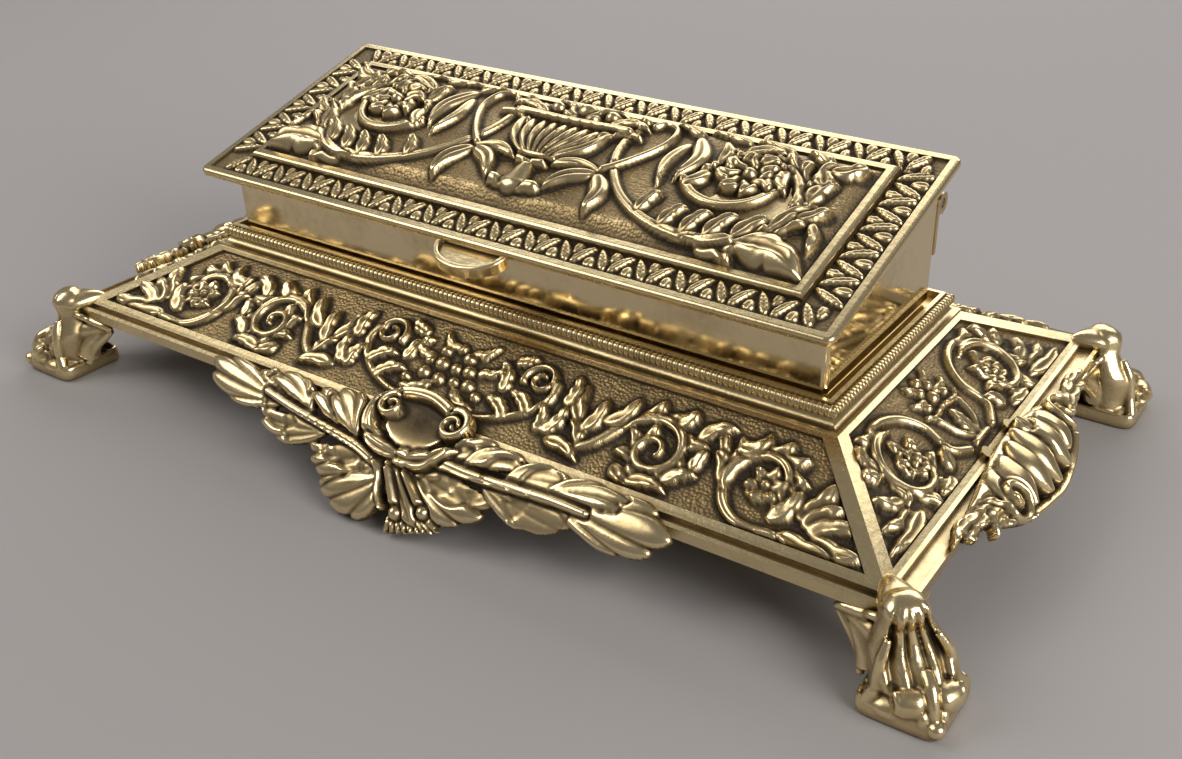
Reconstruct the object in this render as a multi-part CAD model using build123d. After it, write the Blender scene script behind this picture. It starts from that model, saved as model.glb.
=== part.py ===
from build123d import *
import math
import os

# Brass stamp box. A wedge-shaped box with a sloping hinged lid sits in the flat top of a low
# pyramidal stand on four scroll feet. Millimetres, Z up, X along the long side, the front with
# the thumb tab faces -Y, and the origin is on the surface under the middle of the stand.

# Box
BOX_LENGTH = 115.8
BOX_DEPTH = 36.55
BOX_CENTRE_Y = -0.775
BOX_FRONT_HEIGHT = 12.35
BOX_WALL = 1.6
BOX_CORNER = 0.9
BOX_BASE_ROUND = 1.2
FLOOR_THICKNESS = 1.4
DIVIDER_THICKNESS = 1.0
DIVIDER_DROP = 1.4
RAMP_THICKNESS = 0.8
RAMP_RADIUS = 19.4
RAMP_TANGENT_Y = -2.0
RAMP_FLAT = 6.0
RAMP_CLEARANCE = 0.1
COMPARTMENTS = 3

# Lid, measured along its own slope
LID_SLOPE = 16.05
LID_LENGTH = 121.5
LID_FRONT_OVERHANG = 5.3
LID_BACK_OVERHANG = 1.1
LID_GAP = 0.25
LID_CORNER = 1.4
BEAD_THICKNESS = 1.5
BEAD_WIDTH = 1.5
BEAD_ROUND = 0.6
BAND_THICKNESS = 1.1
FIELD_BORDER_SIDE = 7.3
FIELD_BORDER_FRONT = 6.2
FIELD_THICKNESS = 2.4
FIELD_ROUND = 0.7
FRAME_LINE_WIDTH = 0.9
GROOVE_WIDTH = 0.8
GROOVE_DEPTH = 0.5
CUSHION_EDGE = 2.2
CUSHION_LEVELS = (
    # inset from the cushion's edge, height above the groove
    (0.0, 0.0),
    (1.2, 0.5),
    (3.2, 1.3),
    (6.4, 1.9),
    (10.2, 2.1),
)
LINER_THICKNESS = 0.8
LINER_MARGIN = 2.0
TAB_HALF_WIDTH = 6.8
TAB_REACH = 4.9
TAB_THICKNESS = 1.2
TAB_TONGUE = 3.4
TAB_RIM_WIDTH = 1.1
TAB_RIM_RISE = 0.7

# Hinge
BARREL_RADIUS = 1.75
HINGE_GAP = 0.25
HINGE_DROP = 6.5
PIN_RADIUS = 0.75
PIN_CLEARANCE = 0.05
KNUCKLES = 5
KNUCKLE_GAP = 0.2
KNUCKLE_CLEARANCE = 0.3
LEAF_THICKNESS = 0.8
BOX_LEAF_HEIGHT = 8.0
LID_FLANGE_DEPTH = 6.0
LID_FLANGE_CLEARANCE = 0.5
RIVET_RADIUS = 0.8
RIVET_HEAD_RADIUS = 1.3
RIVET_HEAD_HEIGHT = 0.5
RIVET_PITCH = 21.0
HINGE_RIVETS = 5

# Stand
RECESS_GAP_SIDE = 1.05
RECESS_GAP_FRONT = 0.8
MOULDING_WIDTH = 2.75
LEDGE_WIDTH = 1.7
LEDGE_THICKNESS = 1.0
TRAY_THICKNESS = 1.5
LIP_WIDTH = 0.7
LIP_GROOVE = 0.5
MILLED_BEAD_RADIUS = 0.75
PANEL_TOP_Z = 21.5
PANEL_RUN_SIDE = 15.7
PANEL_RUN_FRONT = 17.3
PANEL_DROP = 7.9
PANEL_RECESS = 0.6
PANEL_FILLET = 0.9
MITRE_BAND = 2.0
SKIRT_WALL = 2.2
RIM_WIDTH_SIDE = 3.5
RIM_WIDTH_FRONT = 2.2
RIM_FALL = 0.9
RIM_HEIGHT = 1.7
RIM_LINE = 0.6
RIM_CHANNEL_DEPTH = 0.4
LUG_SIZE = 15.0
LUG_THICKNESS = 2.4

# Feet, measured outward from the middle of the pad along the stand's diagonal
FOOT_OUT_X = 8.3
FOOT_OUT_Y = 6.3
PAD_SIDE = 12.0
PAD_CORNER = 2.2
PAD_THICKNESS = 1.6
PAD_EDGE_ROUND = 0.9
LEG_SECTIONS = (
    # height, middle of the section, half depth, half width
    (1.2, -0.2, 4.2, 7.6),
    (4.2, 0.0, 3.2, 6.6),
    (7.4, -0.8, 2.7, 5.4),
    (10.2, -2.2, 2.8, 4.5),
    (12.6, -3.0, 2.9, 3.7),
    (14.9, -4.0, 2.2, 2.9),
)
TOE_SCROLL_RADIUS = 1.9
TOE_SCROLL_SPREAD = 2.3
TOE_SCROLL_REACH = 4.6
TOE_SCROLL_HEIGHT = 4.1
TOE_SCROLL_SPLAY = 20.0
TOE_TIP_RADIUS = 1.5
TOE_TIP_REACH = 6.3
KNEE_WING_LENGTH = 10.2
KNEE_WING_HEIGHT = 7.6
KNEE_WING_TIP = 1.4
KNEE_WING_THICKNESS = 1.6
FLUTE_RADIUS = 0.9
FLUTE_DEPTH = 0.5
FLUTE_SPREAD = 0.44
FLUTES = 3
FOOT_FLANGE_THICKNESS = 1.6
FOOT_FLANGE_INNER = 14.6
FOOT_FLANGE_OUTER = 1.4
FOOT_FLANGE_WIDTH = 5.7
FOOT_SCREW_RADIUS = 1.5
FOOT_SCREW_BACK = 10.6

# Applied mounts, drawn as seen from above, with lengths along and out from the edge of the rim
MOUNT_RISE = 1.4
MOUNT_THICKNESS = 2.0
MOUNT_BEND = 2.0
MOUNT_FALL_ANGLE = 52.0
APRON_X = 2.5
APRON_LOW_Z = 1.6
LAUREL_PAIRS = 4
LAUREL_START = 1.0
LAUREL_PITCH = 9.8
LAUREL_LEAF_LENGTH = 11.5
LAUREL_LEAF_WIDTH = 5.2
LAUREL_LEAF_HANG = 3.6
LAUREL_TAPER = 0.25
LAUREL_STEM_OUT = 2.6
LAUREL_STEM_END_OUT = 0.9
LAUREL_STEM_WIDTH = 2.0
LAUREL_UPPER_IN = 4.2
TASSEL_OUT = 9.0
TASSEL_LEAN = 3.0
TASSEL_WIDTH = 5.2
TIE_HALF_WIDTH = 2.4
TIE_HALF_DEPTH = 1.7
SHELL_LOW_Z = 7.4
SHELL_LOBES = 7
SHELL_LOBE_WIDTH = 6.0
SHELL_FAN = 72.0
SHELL_HALF_LENGTH = 17.5
SHELL_OUT = 9.0
SHELL_ROOT_IN = 2.2
SHELL_CURL_START = 13.0
SHELL_CURL_END = 29.0
SHELL_CURL_WIDTH = 4.4
LEAF_STEP = 0.35
MOUNT_RIVET_RADIUS = 1.0
MOUNT_RIVET_HEAD = 0.8
APRON_RIVET_SPREAD = 6.6
SHELL_RIVET_SPREAD = 4.5
CARTOUCHE_OFFSET = 3.2
CARTOUCHE_HALF_WIDTH = 8.6
CARTOUCHE_HALF_DEPTH = 6.6
CARTOUCHE_HOLLOW_WIDTH = 4.6
CARTOUCHE_HOLLOW_DEPTH = 3.3

# Small screws
SMALL_SCREW_RADIUS = 1.2
SCREW_CLEARANCE = 0.1
SCREW_HEAD_RADIUS = 2.2
SCREW_HEAD_HEIGHT = 1.2

# Places that follow from the sizes above
SLOPE = math.radians(LID_SLOPE)
BOX_FRONT_Y = BOX_CENTRE_Y - BOX_DEPTH / 2
BOX_BACK_Y = BOX_CENTRE_Y + BOX_DEPTH / 2
RECESS_X = BOX_LENGTH / 2 + RECESS_GAP_SIDE
RECESS_Y = -BOX_FRONT_Y + RECESS_GAP_FRONT
TRAY_Z = PANEL_TOP_Z + LEDGE_THICKNESS
BOX_BASE_Z = TRAY_Z + TRAY_THICKNESS
FLOOR_TOP_Z = BOX_BASE_Z + FLOOR_THICKNESS
PANEL_TOP_X = RECESS_X + MOULDING_WIDTH
PANEL_TOP_Y = RECESS_Y + MOULDING_WIDTH
PANEL_LOW_X = PANEL_TOP_X + PANEL_RUN_SIDE
PANEL_LOW_Y = PANEL_TOP_Y + PANEL_RUN_FRONT
PANEL_LOW_Z = PANEL_TOP_Z - PANEL_DROP
RIM_X = PANEL_LOW_X + RIM_WIDTH_SIDE
RIM_Y = PANEL_LOW_Y + RIM_WIDTH_FRONT
RIM_TOP_Z = PANEL_LOW_Z - RIM_FALL
RIM_LOW_Z = RIM_TOP_Z - RIM_HEIGHT
TOE_X = RIM_X + FOOT_OUT_X
TOE_Y = RIM_Y + FOOT_OUT_Y
WALL_TOP_FRONT_Z = BOX_BASE_Z + BOX_FRONT_HEIGHT
WALL_TOP_BACK_Z = WALL_TOP_FRONT_Z + BOX_DEPTH * math.tan(SLOPE)
HINGE_Y = BOX_BACK_Y + HINGE_GAP + BARREL_RADIUS
HINGE_Z = WALL_TOP_BACK_Z - HINGE_DROP
INNER_LENGTH = BOX_LENGTH - 2 * BOX_WALL
INNER_FRONT_Y = BOX_FRONT_Y + BOX_WALL
INNER_BACK_Y = BOX_BACK_Y - BOX_WALL
COMPARTMENT_LENGTH = (INNER_LENGTH - (COMPARTMENTS - 1) * DIVIDER_THICKNESS) / COMPARTMENTS
COMPARTMENT_PITCH = COMPARTMENT_LENGTH + DIVIDER_THICKNESS
FAR = 400.0

# The lid's own plane: its underside, with local Y running up the slope from above the front wall
LID_PLANE = Plane(
    origin=(0, BOX_FRONT_Y, WALL_TOP_FRONT_Z + LID_GAP / math.cos(SLOPE)),
    x_dir=(1, 0, 0),
    z_dir=(0, -math.sin(SLOPE), math.cos(SLOPE)),
)
LID_FRONT = -LID_FRONT_OVERHANG
LID_BACK = BOX_DEPTH / math.cos(SLOPE) + LID_BACK_OVERHANG
LID_DEPTH = LID_BACK - LID_FRONT
LID_MIDDLE = (LID_FRONT + LID_BACK) / 2
FIELD_LENGTH = LID_LENGTH - 2 * FIELD_BORDER_SIDE
FIELD_DEPTH = LID_DEPTH - 2 * FIELD_BORDER_FRONT


def save(shape, name):
    """Write one piece to its own STEP file."""
    export_step(shape, f"parts/{name}.step")


def at_lid(shape):
    """Place a shape that is drawn in the lid's own plane."""
    return LID_PLANE.location * shape


def above_lid_plane(height):
    """Everything above a plane that lies parallel to the lid, at a height from its underside."""
    block = Box(FAR, FAR, FAR, align=(Align.CENTER, Align.CENTER, Align.MIN))
    return at_lid(Pos(0, 0, height) * block)


def cylinder_between(start, end, radius):
    """A round bar between two points."""
    way = Vector(*end) - Vector(*start)
    return Plane(origin=start, z_dir=way).location * Cylinder(
        radius, way.length, align=(Align.CENTER, Align.CENTER, Align.MIN)
    )


def rectangle_wire(half_x, half_y, height):
    """A level rectangle about the Z axis."""
    return Wire.make_polygon(
        [
            (-half_x, -half_y, height),
            (half_x, -half_y, height),
            (half_x, half_y, height),
            (-half_x, half_y, height),
        ]
    )


def frustum(lower, upper):
    """A four-sided solid between two level rectangles, each (half length, half depth, height)."""
    return Part() + Solid.make_loft([rectangle_wire(*lower), rectangle_wire(*upper)], ruled=True)


def mitred_frame(profile, half_x, half_y, height):
    """Four runs of a moulding's profile round a level rectangle, mitred where they meet.

    The profile is drawn with X outward from the rectangle and Y upward.
    """
    frame = Part()
    for side in range(4):
        half = half_x if side % 2 == 0 else half_y
        out = half_y if side % 2 == 0 else half_x
        plane = Plane(origin=(0, -out, height), x_dir=(0, -1, 0), z_dir=(-1, 0, 0))
        run = extrude(plane.location * profile, half + 2 * MOULDING_WIDTH, both=True)
        far = 2 * MOULDING_WIDTH
        near = 2 * LEDGE_WIDTH
        mitre = Polyline(
            (-half - far, -out - far),
            (half + far, -out - far),
            (half - near, -out + near),
            (-half + near, -out + near),
            close=True,
        )
        frame += Rot(0, 0, 90 * side) * (run & extrude(make_face(mitre), FAR / 4))
    return frame


def lens(start, end, width):
    """A leaf outline: two arcs between its stalk and its tip."""
    a = Vector(*start)
    b = Vector(*end)
    side = Vector(a.Y - b.Y, b.X - a.X).normalized() * (width / 2)
    middle = (a + b) * 0.5
    upper = ThreePointArc(a, middle + side, b)
    lower = ThreePointArc(b, middle - side, a)
    return make_face([upper, lower])


# Stand


def panel_recess(half_top, half_low, run):
    """The sunk field of one panel, drawn on its slope with Y running down from the upper edge."""
    length = math.hypot(run, PANEL_DROP)
    spread = (half_low - half_top) / length
    band = MITRE_BAND * math.hypot(1, spread)
    top = PANEL_FILLET
    low = length - PANEL_FILLET
    half_a = half_top + spread * top - band
    half_b = half_top + spread * low - band
    return make_face(Polyline((-half_a, top), (half_a, top), (half_b, low), (-half_b, low), close=True))


def panel_plane(top_outward, run, side):
    """The plane of a panel, for the front, right, back and left sides in turn."""
    angle = math.atan2(PANEL_DROP, run)
    out = Vector(0, -1, 0).rotate(Axis.Z, 90 * side)
    along = Vector(1, 0, 0).rotate(Axis.Z, 90 * side)
    down = out * math.cos(angle) + Vector(0, 0, -math.sin(angle))
    origin = out * top_outward + Vector(0, 0, PANEL_TOP_Z)
    return Plane(origin=origin, x_dir=along, z_dir=along.cross(down))


def make_skirt():
    """The stand casting: four sloping panels, mitred bands, rim, and lugs inside for the feet."""
    skirt = frustum((PANEL_LOW_X, PANEL_LOW_Y, PANEL_LOW_Z), (PANEL_TOP_X, PANEL_TOP_Y, PANEL_TOP_Z))
    skirt += frustum((RIM_X, RIM_Y, RIM_TOP_Z), (PANEL_LOW_X, PANEL_LOW_Y, PANEL_LOW_Z))
    skirt += frustum((RIM_X, RIM_Y, RIM_LOW_Z), (RIM_X, RIM_Y, RIM_TOP_Z))
    inside = frustum(
        (RIM_X - SKIRT_WALL, RIM_Y - SKIRT_WALL, RIM_LOW_Z),
        (PANEL_TOP_X - SKIRT_WALL / 2, PANEL_TOP_Y - SKIRT_WALL / 2, PANEL_TOP_Z - SKIRT_WALL),
    )
    lug = Box(2 * LUG_SIZE, 2 * LUG_SIZE, LUG_THICKNESS, align=(Align.CENTER, Align.CENTER, Align.MIN))
    lugs = Part()
    for sign_x in (-1, 1):
        for sign_y in (-1, 1):
            corner = Pos(sign_x * RIM_X, sign_y * RIM_Y, RIM_LOW_Z)
            lugs += corner * Rot(0, 0, 45) * lug
    lugs &= inside
    skirt = skirt - inside + lugs
    skirt -= Pos(0, 0, PANEL_TOP_Z) * Box(2 * (RECESS_X - LEDGE_WIDTH), 2 * (RECESS_Y - LEDGE_WIDTH), FAR / 4)
    sides = (
        (PANEL_TOP_X, PANEL_LOW_X, PANEL_TOP_Y, PANEL_RUN_FRONT),
        (PANEL_TOP_Y, PANEL_LOW_Y, PANEL_TOP_X, PANEL_RUN_SIDE),
    )
    for side in range(4):
        half_top, half_low, outward, run = sides[side % 2]
        plane = panel_plane(outward, run, side)
        face = plane.location * panel_recess(half_top, half_low, run)
        skirt -= extrude(face, amount=PANEL_RECESS, dir=plane.z_dir * (-1 if plane.z_dir.Z > 0 else 1))
    fall_side = RIM_FALL / RIM_WIDTH_SIDE
    channel_out = frustum(
        (RIM_X - RIM_LINE, RIM_Y - RIM_LINE, RIM_TOP_Z - RIM_CHANNEL_DEPTH + fall_side * RIM_LINE),
        (RIM_X - RIM_LINE, RIM_Y - RIM_LINE, PANEL_LOW_Z + RIM_HEIGHT),
    )
    channel_in = frustum(
        (PANEL_LOW_X + RIM_LINE, PANEL_LOW_Y + RIM_LINE, RIM_LOW_Z),
        (PANEL_LOW_X + RIM_LINE, PANEL_LOW_Y + RIM_LINE, PANEL_LOW_Z + 2 * RIM_HEIGHT),
    )
    skirt -= channel_out - channel_in
    return skirt


def make_moulding():
    """The lip moulding round the recess: lip, groove, milled bead, hollow and fillet, with a ledge."""
    lip = BOX_BASE_Z + MILLED_BEAD_RADIUS * 1.6 - PANEL_TOP_Z
    bead_low = lip - LIP_GROOVE - 2 * MILLED_BEAD_RADIUS
    bead_x = LIP_WIDTH + MILLED_BEAD_RADIUS * 0.6
    hollow_end = MOULDING_WIDTH - LIP_GROOVE
    profile = make_face(
        [
            Polyline((-LEDGE_WIDTH, 0), (-LEDGE_WIDTH, LEDGE_THICKNESS), (0, LEDGE_THICKNESS), (0, lip)),
            Line((0, lip), (LIP_WIDTH, lip)),
            Line((LIP_WIDTH, lip), (LIP_WIDTH, lip - LIP_GROOVE)),
            ThreePointArc(
                (LIP_WIDTH, lip - LIP_GROOVE),
                (bead_x + MILLED_BEAD_RADIUS, (lip - LIP_GROOVE + bead_low) / 2 + 0.1),
                (bead_x, bead_low),
            ),
            ThreePointArc(
                (bead_x, bead_low),
                (bead_x + (hollow_end - bead_x) * 0.3, bead_low * 0.3 + LIP_GROOVE * 0.7),
                (hollow_end, LIP_GROOVE),
            ),
            Line((hollow_end, LIP_GROOVE), (MOULDING_WIDTH, LIP_GROOVE)),
            Polyline((MOULDING_WIDTH, LIP_GROOVE), (MOULDING_WIDTH, 0), (-LEDGE_WIDTH, 0)),
        ]
    )
    return mitred_frame(profile, RECESS_X, RECESS_Y, PANEL_TOP_Z)


def make_tray():
    """The tray plate inside the lip, which carries the box."""
    plate = Box(2 * RECESS_X, 2 * RECESS_Y, TRAY_THICKNESS, align=(Align.CENTER, Align.CENTER, Align.MIN))
    return Pos(0, 0, TRAY_Z) * plate


def screw_places():
    """Where the four box screws stand."""
    inset = BOX_LENGTH / 2 - COMPARTMENT_LENGTH / 2 - BOX_WALL
    offset = BOX_DEPTH / 4
    return [(sx * inset, BOX_CENTRE_Y + sy * offset) for sx in (-1, 1) for sy in (-1, 1)]


def make_box_screws(clearance):
    """Four screws from under the tray into the floor of the box."""
    screws = Part()
    shank = TRAY_THICKNESS + FLOOR_THICKNESS / 2
    for x, y in screw_places():
        screws += Pos(x, y, TRAY_Z) * Cylinder(
            SMALL_SCREW_RADIUS + clearance, shank, align=(Align.CENTER, Align.CENTER, Align.MIN)
        )
        if clearance == 0:
            screws += Pos(x, y, TRAY_Z) * make_screw_head()
    return screws


def make_screw_head():
    """A slotted cheese head that hangs below its seat."""
    head = Cylinder(SCREW_HEAD_RADIUS, SCREW_HEAD_HEIGHT, align=(Align.CENTER, Align.CENTER, Align.MAX))
    slot = Box(2 * SCREW_HEAD_RADIUS, SCREW_HEAD_HEIGHT / 2, SCREW_HEAD_HEIGHT)
    return head - Pos(0, 0, -SCREW_HEAD_HEIGHT * 1.1) * slot


# Feet


def foot_location(sign_x, sign_y):
    """Middle of a foot's pad, with local X pointing outward along the diagonal."""
    angle = math.degrees(math.atan2(sign_y, sign_x))
    return Location((sign_x * (TOE_X - PAD_SIDE / 2), sign_y * (TOE_Y - PAD_SIDE / 2), 0), (0, 0, angle))


def make_foot_blank():
    """One cabriole foot in its own frame: fluted leg, square pad, scrolled toe and a flange behind."""
    sections = []
    for height, middle, half_depth, half_width in LEG_SECTIONS:
        sections.append(Pos(middle, 0, height) * Ellipse(half_depth, half_width))
    foot = loft(sections)
    for index in range(FLUTES):
        share = (index - (FLUTES - 1) / 2) * FLUTE_SPREAD
        points = []
        for height, middle, half_depth, half_width in LEG_SECTIONS[1:5]:
            face = middle + half_depth * math.sqrt(1 - share**2)
            points.append((face + FLUTE_RADIUS - FLUTE_DEPTH, share * half_width, height))
        path = Spline(*points)
        groove = sweep(Plane(origin=path @ 0, z_dir=path % 0).location * Circle(FLUTE_RADIUS), path=path)
        foot -= groove
    pad = extrude(Rot(0, 0, 45) * RectangleRounded(PAD_SIDE, PAD_SIDE, PAD_CORNER), PAD_THICKNESS)
    foot += fillet(pad.faces().sort_by(Axis.Z)[-1].edges(), PAD_EDGE_ROUND)
    for side in (-1, 1):
        scroll = Cylinder(TOE_SCROLL_RADIUS, 2 * TOE_SCROLL_RADIUS)
        scroll = fillet(scroll.edges(), TOE_SCROLL_RADIUS * 0.45)
        place = Pos(TOE_SCROLL_REACH, side * TOE_SCROLL_SPREAD, TOE_SCROLL_HEIGHT)
        foot += place * Rot(90, 0, side * TOE_SCROLL_SPLAY) * scroll
    foot += Pos(TOE_TIP_REACH, 0, PAD_THICKNESS) * Sphere(TOE_TIP_RADIUS)
    flange = Box(
        FOOT_FLANGE_INNER - FOOT_FLANGE_OUTER,
        FOOT_FLANGE_WIDTH,
        FOOT_FLANGE_THICKNESS,
        align=(Align.MIN, Align.CENTER, Align.MAX),
    )
    return foot + Pos(-FOOT_FLANGE_INNER, 0, RIM_LOW_Z) * flange


def make_wings(sign_x, sign_y):
    """Two leaf-shaped wings that run from the knee along the underside of the rim."""
    tip = (KNEE_WING_LENGTH, -KNEE_WING_TIP)
    root = (KNEE_WING_LENGTH * 0.4, -KNEE_WING_HEIGHT)
    outline = make_face(
        [
            Line((0, 0), (KNEE_WING_LENGTH - KNEE_WING_TIP, 0)),
            Line((KNEE_WING_LENGTH - KNEE_WING_TIP, 0), tip),
            ThreePointArc(tip, (KNEE_WING_LENGTH * 0.6, -KNEE_WING_HEIGHT * 0.66), root),
            Polyline(root, (0, -KNEE_WING_HEIGHT), (0, 0)),
        ]
    )
    wing = extrude(Plane.XZ * outline, KNEE_WING_THICKNESS / 2, both=True)
    inset = KNEE_WING_THICKNESS
    corner = Pos(sign_x * (RIM_X - inset), sign_y * (RIM_Y - inset), RIM_LOW_Z)
    along_x = Rot(0, 0, 0 if sign_x < 0 else 180)
    along_y = Rot(0, 0, 90 if sign_y < 0 else -90)
    return corner * (along_x * wing + along_y * wing)


def make_foot(sign_x, sign_y, skirt):
    """A foot set under its corner of the rim, cut to seat on the casting."""
    foot = foot_location(sign_x, sign_y) * make_foot_blank() + make_wings(sign_x, sign_y)
    foot -= skirt
    hole = Cylinder(FOOT_SCREW_RADIUS + SCREW_CLEARANCE, FAR / 8)
    foot -= foot_location(sign_x, sign_y) * Pos(-FOOT_SCREW_BACK, 0, RIM_LOW_Z) * hole
    return keep_largest(foot)


def make_foot_screws(clearance):
    """The four screws that hold the feet to the lugs."""
    screws = Part()
    for sign_x in (-1, 1):
        for sign_y in (-1, 1):
            shank_length = FOOT_FLANGE_THICKNESS + LUG_THICKNESS * 0.8
            shank = Cylinder(
                FOOT_SCREW_RADIUS + clearance, shank_length, align=(Align.CENTER, Align.CENTER, Align.MIN)
            )
            low = RIM_LOW_Z - FOOT_FLANGE_THICKNESS
            screw = Pos(-FOOT_SCREW_BACK, 0, low) * shank
            if clearance == 0:
                screw += Pos(-FOOT_SCREW_BACK, 0, low) * make_screw_head()
            screws += foot_location(sign_x, sign_y) * screw
    return screws


# Applied mounts


def bent_sheet(top_outward, rim_outward, low_z, length, skin):
    """A sheet that lies on a panel and bends down past the rim, for the front side.

    The skin is how far its upper face stands above the panel.
    """
    start = top_outward + PANEL_RUN_FRONT * 0.4
    bend = rim_outward + MOUNT_BEND
    fall = math.tan(math.radians(MOUNT_FALL_ANGLE))
    slope = PANEL_DROP / (PANEL_RUN_FRONT if top_outward == PANEL_TOP_Y else PANEL_RUN_SIDE)
    start_z = PANEL_TOP_Z - (start - top_outward) * slope
    bend_z = PANEL_TOP_Z - (bend - top_outward) * slope
    end = bend + (bend_z - low_z) / fall
    under = skin - MOUNT_THICKNESS - PANEL_RECESS
    section = make_face(
        Polyline(
            (-start, start_z + skin),
            (-bend, bend_z + skin),
            (-end - skin * 0.4, low_z + skin * 0.4),
            (-end + MOUNT_THICKNESS * 0.5, low_z),
            (-bend + MOUNT_THICKNESS * 0.5, bend_z + under),
            (-start, start_z + under),
            close=True,
        )
    )
    return extrude(Plane.YZ * section, length / 2, both=True)


def prism(face):
    """A tall prism over an outline seen from above."""
    return Pos(0, 0, -FAR / 8) * extrude(face, FAR / 4)


def laurel_branch(side):
    """Outlines of one branch's leaves and stem, each with how far it stands above its neighbours."""
    end = LAUREL_START + LAUREL_PAIRS * LAUREL_PITCH
    stem = lens((0, -RIM_Y - LAUREL_STEM_OUT), (side * end, -RIM_Y - LAUREL_STEM_END_OUT), LAUREL_STEM_WIDTH)
    branch = [(stem, 2 * LEAF_STEP)]
    for index in range(LAUREL_PAIRS):
        size = 1 - LAUREL_TAPER * index / LAUREL_PAIRS
        lower = LAUREL_START + index * LAUREL_PITCH
        upper = lower + LAUREL_PITCH / 2
        along = (lower / end) * (LAUREL_STEM_OUT - LAUREL_STEM_END_OUT)
        root = -RIM_Y - LAUREL_STEM_OUT + along
        width = LAUREL_LEAF_WIDTH * size
        tip = (side * (lower + LAUREL_LEAF_LENGTH), root - LAUREL_LEAF_HANG * size)
        branch.append((lens((side * lower, root), tip, width), LEAF_STEP * (index % 2)))
        tip = (side * (upper + LAUREL_LEAF_LENGTH), root + LAUREL_UPPER_IN * size)
        branch.append((lens((side * upper, root), tip, width), LEAF_STEP * (1 - index % 2)))
    return branch


def make_apron(skirt):
    """The front mount: two laurel branches tied under a hollow cartouche, with a hanging tassel."""
    root = -RIM_Y - LAUREL_STEM_OUT
    tassel = lens((0, root), (TASSEL_LEAN, -RIM_Y - TASSEL_OUT), TASSEL_WIDTH)
    tie = Pos(0, root) * Ellipse(TIE_HALF_WIDTH, TIE_HALF_DEPTH)
    ring = Ellipse(CARTOUCHE_HALF_WIDTH, CARTOUCHE_HALF_DEPTH)
    ring -= Ellipse(CARTOUCHE_HOLLOW_WIDTH, CARTOUCHE_HOLLOW_DEPTH)
    ring = Pos(0, -RIM_Y + CARTOUCHE_OFFSET) * ring
    outlines = laurel_branch(1) + laurel_branch(-1)
    outlines += [(tassel, LEAF_STEP), (tie, 3 * LEAF_STEP), (ring, 2 * LEAF_STEP)]
    apron = Part()
    for face, lift in outlines:
        sheet = bent_sheet(PANEL_TOP_Y, RIM_Y, APRON_LOW_Z, 2 * PANEL_LOW_X, MOUNT_RISE + lift)
        apron += prism(face) & sheet
    return keep_largest(Pos(APRON_X, 0, 0) * apron - skirt)


def make_shell(skirt):
    """The side mount: a fan of acanthus lobes with a curl at each end, drawn at the front and turned."""
    outlines = []
    for index in range(SHELL_LOBES):
        turn = 2 * index / (SHELL_LOBES - 1) - 1
        angle = math.radians(SHELL_FAN * turn)
        tip = (SHELL_HALF_LENGTH * math.sin(angle), -PANEL_LOW_X - SHELL_OUT * math.cos(angle))
        lobe = lens((turn, -PANEL_LOW_X + SHELL_ROOT_IN), tip, SHELL_LOBE_WIDTH)
        outlines.append((lobe, LEAF_STEP * (1 + index % 2)))
    for side in (-1, 1):
        start = (side * SHELL_CURL_START, -RIM_X + SHELL_CURL_WIDTH / 2)
        curl = lens(start, (side * SHELL_CURL_END, -RIM_X), SHELL_CURL_WIDTH)
        outlines.append((curl, LEAF_STEP))
    shell = Part()
    for face, lift in outlines:
        sheet = bent_sheet(PANEL_TOP_X, RIM_X, SHELL_LOW_Z, 2 * PANEL_LOW_Y, MOUNT_RISE + lift)
        shell += prism(face) & sheet
    return keep_largest(Rot(0, 0, 90) * shell - skirt)


def keep_largest(shape):
    """Drop slivers that a cut left beside the piece."""
    return Part() + shape.solids().sort_by(SortBy.VOLUME)[-1]


# Box


def make_walls():
    """The four walls, rounded at the foot, with a sloping top edge lowered for the hinge flange."""
    height = WALL_TOP_BACK_Z - BOX_BASE_Z + BEAD_THICKNESS
    outline = RectangleRounded(BOX_LENGTH, BOX_DEPTH, BOX_CORNER)
    walls = Pos(0, BOX_CENTRE_Y, BOX_BASE_Z) * extrude(outline, height)
    walls = fillet(walls.faces().sort_by(Axis.Z)[0].edges(), BOX_BASE_ROUND)
    inner = Box(INNER_LENGTH, BOX_DEPTH - 2 * BOX_WALL, FAR)
    walls -= Pos(0, BOX_CENTRE_Y, BOX_BASE_Z) * inner
    walls -= above_lid_plane(-LID_GAP)
    notch = Pos(0, BOX_BACK_Y, BOX_BASE_Z) * Box(INNER_LENGTH, 2 * BOX_WALL + BOX_CORNER, FAR)
    walls -= notch & above_lid_plane(-LID_GAP - LEAF_THICKNESS)
    return walls


def make_floor():
    """The floor plate inside the walls."""
    plate = extrude(Rectangle(INNER_LENGTH, BOX_DEPTH - 2 * BOX_WALL), FLOOR_THICKNESS)
    return Pos(0, BOX_CENTRE_Y, BOX_BASE_Z) * plate


def make_divider(index):
    """A partition between two compartments."""
    x = (index - (COMPARTMENTS - 2) / 2) * COMPARTMENT_PITCH
    depth = BOX_DEPTH - 2 * BOX_WALL
    plate = Box(DIVIDER_THICKNESS, depth, FAR, align=(Align.CENTER, Align.CENTER, Align.MIN))
    return Pos(x, BOX_CENTRE_Y, FLOOR_TOP_Z) * plate - above_lid_plane(-LID_GAP - DIVIDER_DROP)


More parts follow.
